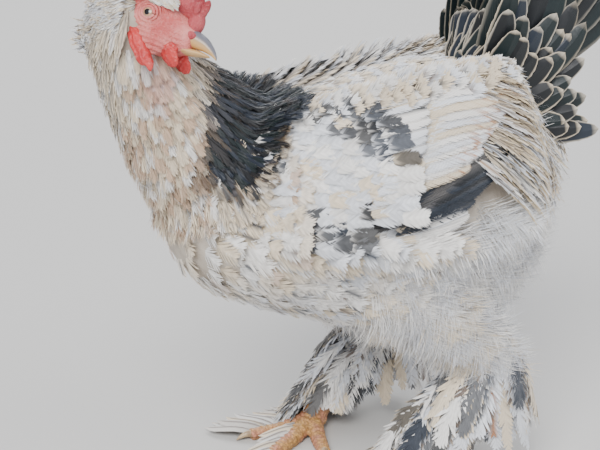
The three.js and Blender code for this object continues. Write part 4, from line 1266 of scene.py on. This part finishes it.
def leg_skin(name, leg):
    """The scaled shank and toes as one skin, with broad scutes in front and on the toes."""
    bm = bmesh.new()
    line = lambda t: leg["hock"] + (leg["ankle"] - vec(0, 0, 4) - leg["hock"]) * t[:, None]
    tube(bm, line, lambda t: SHANK_RADIUS * (1.1 - 0.14 * np.sin(math.pi * t)), 24, 40)
    pebble(bm, leg["ankle"] * vec(1, 1, 0) + vec(0, 0, 9), np.eye(3), (13, 11.5, 8.5))
    for toe, (turn, length, radius) in TOES.items():

        def swell(t, radius=radius, joints=length / 8):
            return radius * mix(1.02, 0.72, t) * (1 + 0.05 * np.sin(2 * math.pi * joints * t))

        tube(bm, toe_line(leg, toe), swell, 20, 36, 0.9)
    skin = fused(from_bmesh(f"Leg_{name}_skin", bm), 0.9, 3)
    ankle = leg["ankle"]

    def scutes(points, normals):
        """Overlapping plates across the top of each toe and the front of the shank."""
        step = np.linalg.norm(points - ankle, axis=1) / 5.2
        ramp = step % 1.0
        top = smoothstep(normals[:, 2] - normals[:, 0] * 0.6, 0.1, 0.6)
        return top * (0.75 * ramp - 0.9 * (ramp < 0.14))

    moved(skin, scutes)

    # The pads lie flat, a hair above the floor.
    co = np.empty(len(skin.data.vertices) * 3)
    skin.data.vertices.foreach_get("co", co)
    co = co.reshape(-1, 3)
    co[:, 2] = np.maximum(co[:, 2], PAD_HEIGHT)
    skin.data.vertices.foreach_set("co", co.ravel())
    skin.data.update()
    return finish(skin, scale_finish(), "scaled_skin", f"shank_{name}", f"foot_{name}")


def claws(name, leg):
    """Curved horn at the end of each toe, down to the floor."""
    for toe, length in (("inner", 13), ("middle", 14), ("outer", 13), ("hind", 12)):
        heading = toe_heading(leg, toe)
        base = toe_line(leg, toe)(np.ones(1))[0] + vec(0, 0, 1.2)

        def line(t, heading=heading, base=base, length=length):
            spot = base + heading * (mix(-2, length, t))[:, None]
            spot[:, 2] = mix(base[2], 1.2, t**2) + 0.8 * np.sin(math.pi * t)
            return spot

        bm = bmesh.new()
        tube(bm, line, lambda t: 3.2 * np.clip(1 - t, 0, 1) ** 0.7 + 0.3, 16, 24)
        finish(from_bmesh(f"Claw_{name}_{toe}", bm), claw_horn, "horn", f"claw_{name}_{toe}")


# Head. Its cross-sections: place forward, half width, half height and height of the axis.
HEAD = np.array([
    [-34, 2, 2, 0],
    [-30, 13, 13, -1],
    [-20, 17.5, 18, -2],
    [-6, 18.5, 20, -3.5],
    [8, 17, 19.5, -5],
    [19, 13, 15, -6.5],
    [27, 9.5, 11, -7.5],
    [33, 6, 7, -8],
], float)


def head_skin():
    """Bare red skin over the skull, cheeks, brows and lids, with folds round the eyes."""
    bm = bmesh.new()
    side, up, axis = (column(HEAD, key) for key in (1, 2, 3))

    def skull(turn, share):
        f = mix(HEAD[0, 0], HEAD[-1, 0], (1 - np.cos(math.pi * share)) / 2)
        round_off = np.clip(np.sin(math.pi * share) * 4, 0, 1) ** 0.5
        return (
            head_point(0, 0, 0)
            + f[:, None] * FORWARD
            + (axis(f) + up(f) * np.cos(turn) * round_off)[:, None] * UP
            + (side(f) * np.sin(turn) * round_off)[:, None] * SIDE
        )

    shaped_ball(bm, 48, 36, skull)
    axes = (FORWARD, SIDE, UP)
    for hand in SIDES.values():
        pebble(bm, head_point(4, 9.5, -hand * 12.5), axes, (13, 4, 4))
        pebble(bm, head_point(6, -14, -hand * 11), axes, (16, 7.5, 12))
        pebble(bm, head_point(0, 0, -hand * 14.2), (SIDE, FORWARD, UP), (3.6, 8.4, 7.6))
    skin = fused(from_bmesh("Head_skin", bm), 0.7, 4)

    def folds(points, normals):
        rel = points - SKULL
        f, u, s = rel @ FORWARD, rel @ UP, rel @ SIDE
        from_eye = np.hypot(f, u)
        near = smoothstep(np.abs(s), 7, 12)
        socket = np.where(from_eye < 4.6, 1, 0) * near * -9
        rings = 0.55 * np.cos((from_eye - 6.6) * 2.1) * smoothstep(from_eye, 19, 7) * near * (from_eye > 6.2)
        cheek = 0.45 * np.sin(u * 1.9 + 0.6 * np.sin(f * 0.35)) * smoothstep(u, -2, -9) * near
        grain = 0.25 * np.sin(f * 2.3 + u * 0.7) * np.sin(u * 2.7 - f * 0.5)
        return socket + rings + cheek + grain * near

    moved(skin, folds)
    return finish(skin, red_skin, "red_skin", "head")


def eye(name, hand):
    """The eyeball, with a measure of how far each point lies from the middle of the pupil."""
    bm = bmesh.new()
    pebble(bm, head_point(0, 0, -hand * EYE_SIDE), (SIDE, FORWARD, UP), (EYE_RADIUS,) * 3, 48, 32)
    ball = from_bmesh(f"Eye_{name}", bm)
    out = SIDE * -hand
    centre = head_point(0, 0, -hand * EYE_SIDE)
    ring = ball.data.attributes.new("ring", "FLOAT", "POINT")
    for vert, slot in zip(ball.data.vertices, ring.data):
        way = unit(np.array(vert.co) * 1000 - SHIFT - centre)
        slot.value = math.acos(max(-1, min(1, float(way @ out)))) / (math.pi / 2)
    return finish(ball, eye_finish(), "eye", f"eye_{name}")


def lids(name, hand):
    """The lids and the folds outside them as fleshy rims round the eye."""
    bm = bmesh.new()
    out_side = SIDE * -hand
    for radius, lateral, thick in ((4.7, 17.7, 1.25), (6.9, 17.2, 1.05), (9.0, 16.2, 0.9)):
        def shape(turn, share, radius=radius, lateral=lateral, thick=thick):
            # The ball's poles meet one another, so the share runs once round the eye.
            around = 2 * math.pi * share
            out = np.cos(around)[:, None] * FORWARD + (0.86 * np.sin(around))[:, None] * UP
            core = SKULL + out * radius + out_side * lateral
            return core + thick * (np.cos(turn)[:, None] * out + np.sin(turn)[:, None] * out_side)

        shaped_ball(bm, 10, 48, shape)
    bmesh.ops.remove_doubles(bm, verts=bm.verts, dist=1e-6)
    return finish(from_bmesh(f"Lids_{name}", bm), red_skin, "red_skin")


# The beak's cross-sections: place forward, half width, top and bottom.
BEAK_UPPER = np.array([
    [22, 7.2, -1.6, -12],
    [32, 7, 0.5, -11.6],
    [40, 5.4, -1.5, -11.4],
    [47, 3.4, -6, -12.2],
    [51, 1.7, -10, -13.6],
    [53, 0.3, -13.6, -14.6],
], float)
BEAK_LOWER = np.array([
    [21, 6.6, -12.6, -18],
    [31, 6, -12, -17.4],
    [39, 4.6, -11.8, -15.8],
    [45, 2.8, -12.6, -14.6],
    [47.5, 0.3, -13.4, -13.9],
], float)


def beak_half(title, rows, node, closed_at):
    bm = bmesh.new()
    side, top, low = (column(rows, key) for key in (1, 2, 3))

    def shape(turn, share):
        f = mix(rows[0, 0], rows[-1, 0], (1 - np.cos(math.pi * share)) / 2)
        close = np.minimum(1, 6 * share) ** 0.5
        mid, half = (top(f) + low(f)) / 2, (top(f) - low(f)) / 2
        # The mouth's edge is square, the outer face is round.
        flat = np.sign(closed_at) * np.cos(turn)
        square = np.where(flat > 0, 0.6 + 0.4 * flat, 1.0) * np.cos(turn)
        return (
            head_point(0, 0, 0)
            + f[:, None] * FORWARD
            + (mid + half * square * close)[:, None] * UP
            + (side(f) * np.sin(turn) * close)[:, None] * SIDE
        )

    shaped_ball(bm, 32, 40, shape)
    piece = from_bmesh(title, bm)
    ridge = piece.data.attributes.new("ridge", "FLOAT", "POINT")
    for vert, slot in zip(piece.data.vertices, ridge.data):
        rel = np.array(vert.co) * 1000 - SHIFT - SKULL
        f, u = rel @ FORWARD, rel @ UP
        if closed_at < 0:
            slot.value = float(smoothstep(u, mix(low(f), top(f), 0.25), mix(low(f), top(f), 0.8)))
        else:
            slot.value = 0.1
    return finish(piece, horn_finish(), "horn", node)


def nostril_flaps():
    bm = bmesh.new()
    for hand in SIDES.values():
        pebble(bm, head_point(30, -4.5, -hand * 5.6), (FORWARD, SIDE, UP), (5.4, 2.4, 3.2))
    return finish(from_bmesh("Nostril_flaps", bm), comb_skin, "red_skin")


def comb():
    """Three ridges of small rounded knobs on one fleshy base."""
    bm = bmesh.new()
    pebble(bm, head_point(12, 13.5, 0), (FORWARD, SIDE, UP), (21, 8, 8.5))
    pebble(bm, head_point(28, 5, 0), (UP, SIDE, FORWARD), (9, 6.4, 6))
    middle = (0, 31, -9, 9.5, 9.5, 9, 3.6)
    outer = (28, -5, 6.5, 8.5, 8, 2.9)
    for side, start, end, top, arch, knobs, size in (middle, (5.6, *outer), (-5.6, *outer)):
        for k in range(knobs):
            share = k / (knobs - 1)
            rise = top + arch * math.sin(math.pi * min(1, 0.25 + share * 0.72))
            centre = head_point(mix(start, end, share), rise + 1.4, side + rng.uniform(-0.6, 0.6))
            grow = size * rng.uniform(0.85, 1.15)
            pebble(bm, centre, (UP, SIDE, FORWARD), (grow * 1.4, grow * 0.75, grow * 0.68), 14, 10)
    return finish(fused(from_bmesh("Comb", bm), 0.6, 2), comb_skin, "red_skin", "comb")


def hanging_skin(name, hand):
    """One wattle and one ear lobe, thin folds of red skin."""
    bm = bmesh.new()
    down = unit(vec(0.12, -0.02, -1))
    axes = (down, FORWARD, SIDE)
    pebble(bm, head_point(23, -22, -hand * 9.5), axes, (8.5, 7.4, 3))
    pebble(bm, head_point(21, -16.5, -hand * 8), axes, (5, 6, 2.8))
    wattle = fused(from_bmesh(f"Wattle_{name}", bm), 0.6, 4)
    ripple = lambda points, normals: 0.3 * np.sin(points @ FORWARD * 1.7) * np.sin(points[:, 2] * 1.1)
    moved(wattle, ripple)
    finish(wattle, lobe_skin, "red_skin", f"wattle_{name}")
    bm = bmesh.new()
    along = unit(FORWARD - UP)
    across = unit(np.cross(along, SIDE))
    out = -hand * 16.5
    pebble(bm, head_point(1, -23, out), (along, across, SIDE), (17, 5.2, 4.6))
    pebble(bm, head_point(9, -28, out * 0.86), (along, across, SIDE), (12, 3.6, 3.6))
    lobe = fused(from_bmesh(f"Earlobe_{name}", bm), 0.7, 4)
    wave = lambda points: points @ across * 1.6 + 0.8 * np.sin(points @ along * 0.5)
    moved(lobe, lambda points, normals: 0.45 * np.sin(wave(points)))
    finish(lobe, lobe_skin, "red_skin", f"earlobe_{name}")


def head_feathers():
    """Short feathers on the crown and nape, a white patch over the brow and a bristly tuft at each ear."""
    tract = Coat()
    n = 3600
    way = unit(rng.normal(size=(n, 3)))
    side, up, axis = (column(HEAD, key) for key in (1, 2, 3))

    def outside(points):
        """Height over the skull or over the top of the neck, whichever is higher."""
        rel = points - SKULL
        f = np.clip(rel @ FORWARD, HEAD[0, 0] + 1, HEAD[-1, 0] - 1)
        ring = np.hypot((rel @ UP - axis(f)) / up(f), rel @ SIDE / side(f))
        skull = (ring - 1) * np.minimum(side(f), up(f)) + np.abs(rel @ FORWARD - f)
        return np.minimum(skull, neck_coat(points)[0] + 3)

    middle = SKULL - 12 * FORWARD
    roots = middle + way * 8
    for _ in range(12):
        roots = roots - way * (outside(roots) * 0.8)[:, None]
    rel = roots - SKULL
    f, u, s = rel @ FORWARD, rel @ UP, np.abs(rel @ SIDE)
    bare = (f > -11) & (u < 13)
    bare |= (f > -2) & (u > 13)
    keep = ~bare & (roots[:, 2] > 350) & (np.linalg.norm(roots - middle, axis=1) < 48)
    roots, way = roots[keep], way[keep]
    n = len(roots)
    back = rel[keep] @ FORWARD
    length = (jitter(n, 8, 12) + 0.3 * np.maximum(-back - 8, 0))[:, None, None]
    heading = unit(-FORWARD + vec(0, 0, -0.55) + jitter((n, 3), -0.2, 0.2))
    heading = unit(heading - way * (np.sum(heading * way, 1) - 0.22)[:, None])
    line = np.linspace(0, 1, 5)[None, :, None]
    path = roots[:, None] - way[:, None] * 0.5 + heading[:, None] * length * line
    outs = np.repeat(way[:, None], 5, 1)
    paint = painter(plain(CREAM, WHITE, COOL_WHITE), plain(GREY_BROWN), shaft_streak(0.2, 0.35, 1.0))
    tract.barbed(path, outs, jitter(n, 4, 6), lance, paint, 8, 1.5, 0.32, 0.8)
    white = painter(plain(WHITE, CREAM))
    for hand in SIDES.values():
        n = 150
        start = SKULL + jitter((n, 1), 1, 20) * FORWARD + jitter((n, 1), 6.5, 14) * UP
        out_side = SIDE * -hand
        start = start + out_side * (17.5 - 0.22 * np.abs((start - SKULL) @ FORWARD - 6)[:, None])
        heading = unit(-FORWARD * 0.8 + UP * 0.3 + out_side * 0.12 + jitter((n, 3), -0.2, 0.2))
        path = start[:, None] + heading[:, None] * jitter((n, 1), 5, 8)[..., None] * line
        tract.barbed(path, np.broadcast_to(out_side, path.shape), 4, lance, white, 6, 1.5, 0.4, 0.8)
        n = 110
        start = head_point(-12, -5, -hand * 19) + jitter((n, 1), -9, 9) * UP + jitter((n, 3), -2, 2)
        heading = unit(-FORWARD * 0.7 + out_side * 0.35 + vec(0, 0, -0.45) + jitter((n, 3), -0.3, 0.3))
        path = start[:, None] + heading[:, None] * jitter((n, 1), 9, 15)[..., None] * line
        tract.barbed(path, np.broadcast_to(out_side, path.shape), 4, lance, white, 8, 1.2, 0.3, 1.0)
    return tract.build("Head_feathers", hackle_finish, "hackle_coat")


PICTURE_WIDTH = 600  # in pixels
PIXELS_PER_MM = 1.28  # at the target
TARGET = vec(0, 0, 200)
AZIMUTH, ELEVATION, DISTANCE = math.radians(-22), math.radians(18), 1200


def studio():
    """Pale flat floor, three soft lights and the camera."""
    bm = bmesh.new()
    bmesh.ops.create_grid(bm, x_segments=1, y_segments=1, size=6.0)
    floor = from_bmesh("Floor", bm)
    f = Finish("studio floor", Roughness=0.9)
    f.shader.inputs["Base Color"].default_value = (0.55, 0.54, 0.52, 1)
    floor.data.materials.append(f.material)
    for title, place, size, power in (
        ("Key", (-1.6, -2.2, 2.6), 1.8, 175),
        ("Fill", (2.4, -1.6, 1.8), 2.6, 45),
        ("Rim", (0.8, 2.6, 2.4), 2.0, 90),
    ):
        light = bpy.data.lights.new(title, "AREA")
        light.size = size
        light.energy = power
        lamp = bpy.data.objects.new(title, light)
        bpy.context.collection.objects.link(lamp)
        lamp.location = place
        lamp.rotation_euler = (Vector((0, 0, 0.22)) - lamp.location).to_track_quat("-Z", "Y").to_euler()
    world = bpy.data.worlds.new("Studio")
    bpy.context.scene.world = world
    world.use_nodes = True
    world.node_tree.nodes["Background"].inputs[0].default_value = (0.86, 0.9, 1.0, 1)
    world.node_tree.nodes["Background"].inputs[1].default_value = 0.75
    view = bpy.data.cameras.new("Camera")
    camera = bpy.data.objects.new("Camera", view)
    bpy.context.collection.objects.link(camera)
    bpy.context.scene.camera = camera
    level = math.cos(ELEVATION)
    back = vec(math.sin(AZIMUTH) * level, -math.cos(AZIMUTH) * level, math.sin(ELEVATION))
    camera.location = Vector(placed(TARGET + back * DISTANCE))
    camera.rotation_euler = Vector(back).to_track_quat("Z", "Y").to_euler()
    view.sensor_width = 36.0
    view.lens = PIXELS_PER_MM * DISTANCE * view.sensor_width / PICTURE_WIDTH


body_skin()
head_skin()
for title, hand in SIDES.items():
    eye(title, hand)
    lids(title, hand)
    hanging_skin(title, hand)
beak_half("Beak_upper", BEAK_UPPER, "beak_upper", -1)
beak_half("Beak_lower", BEAK_LOWER, "beak_lower", 1)
nostril_flaps()
comb()
breast_feathers()
fluff()
back_feathers()
hackles()
saddle_hackles()
tail()
head_feathers()
claw_horn = claw_finish()
for title, hand in SIDES.items():
    wing(title, hand)
for title, leg in LEGS.items():
    thigh_fluff(title, leg)
    leg_skin(title, leg)
    foot_feathers(title, leg)
    claws(title, leg)
studio()
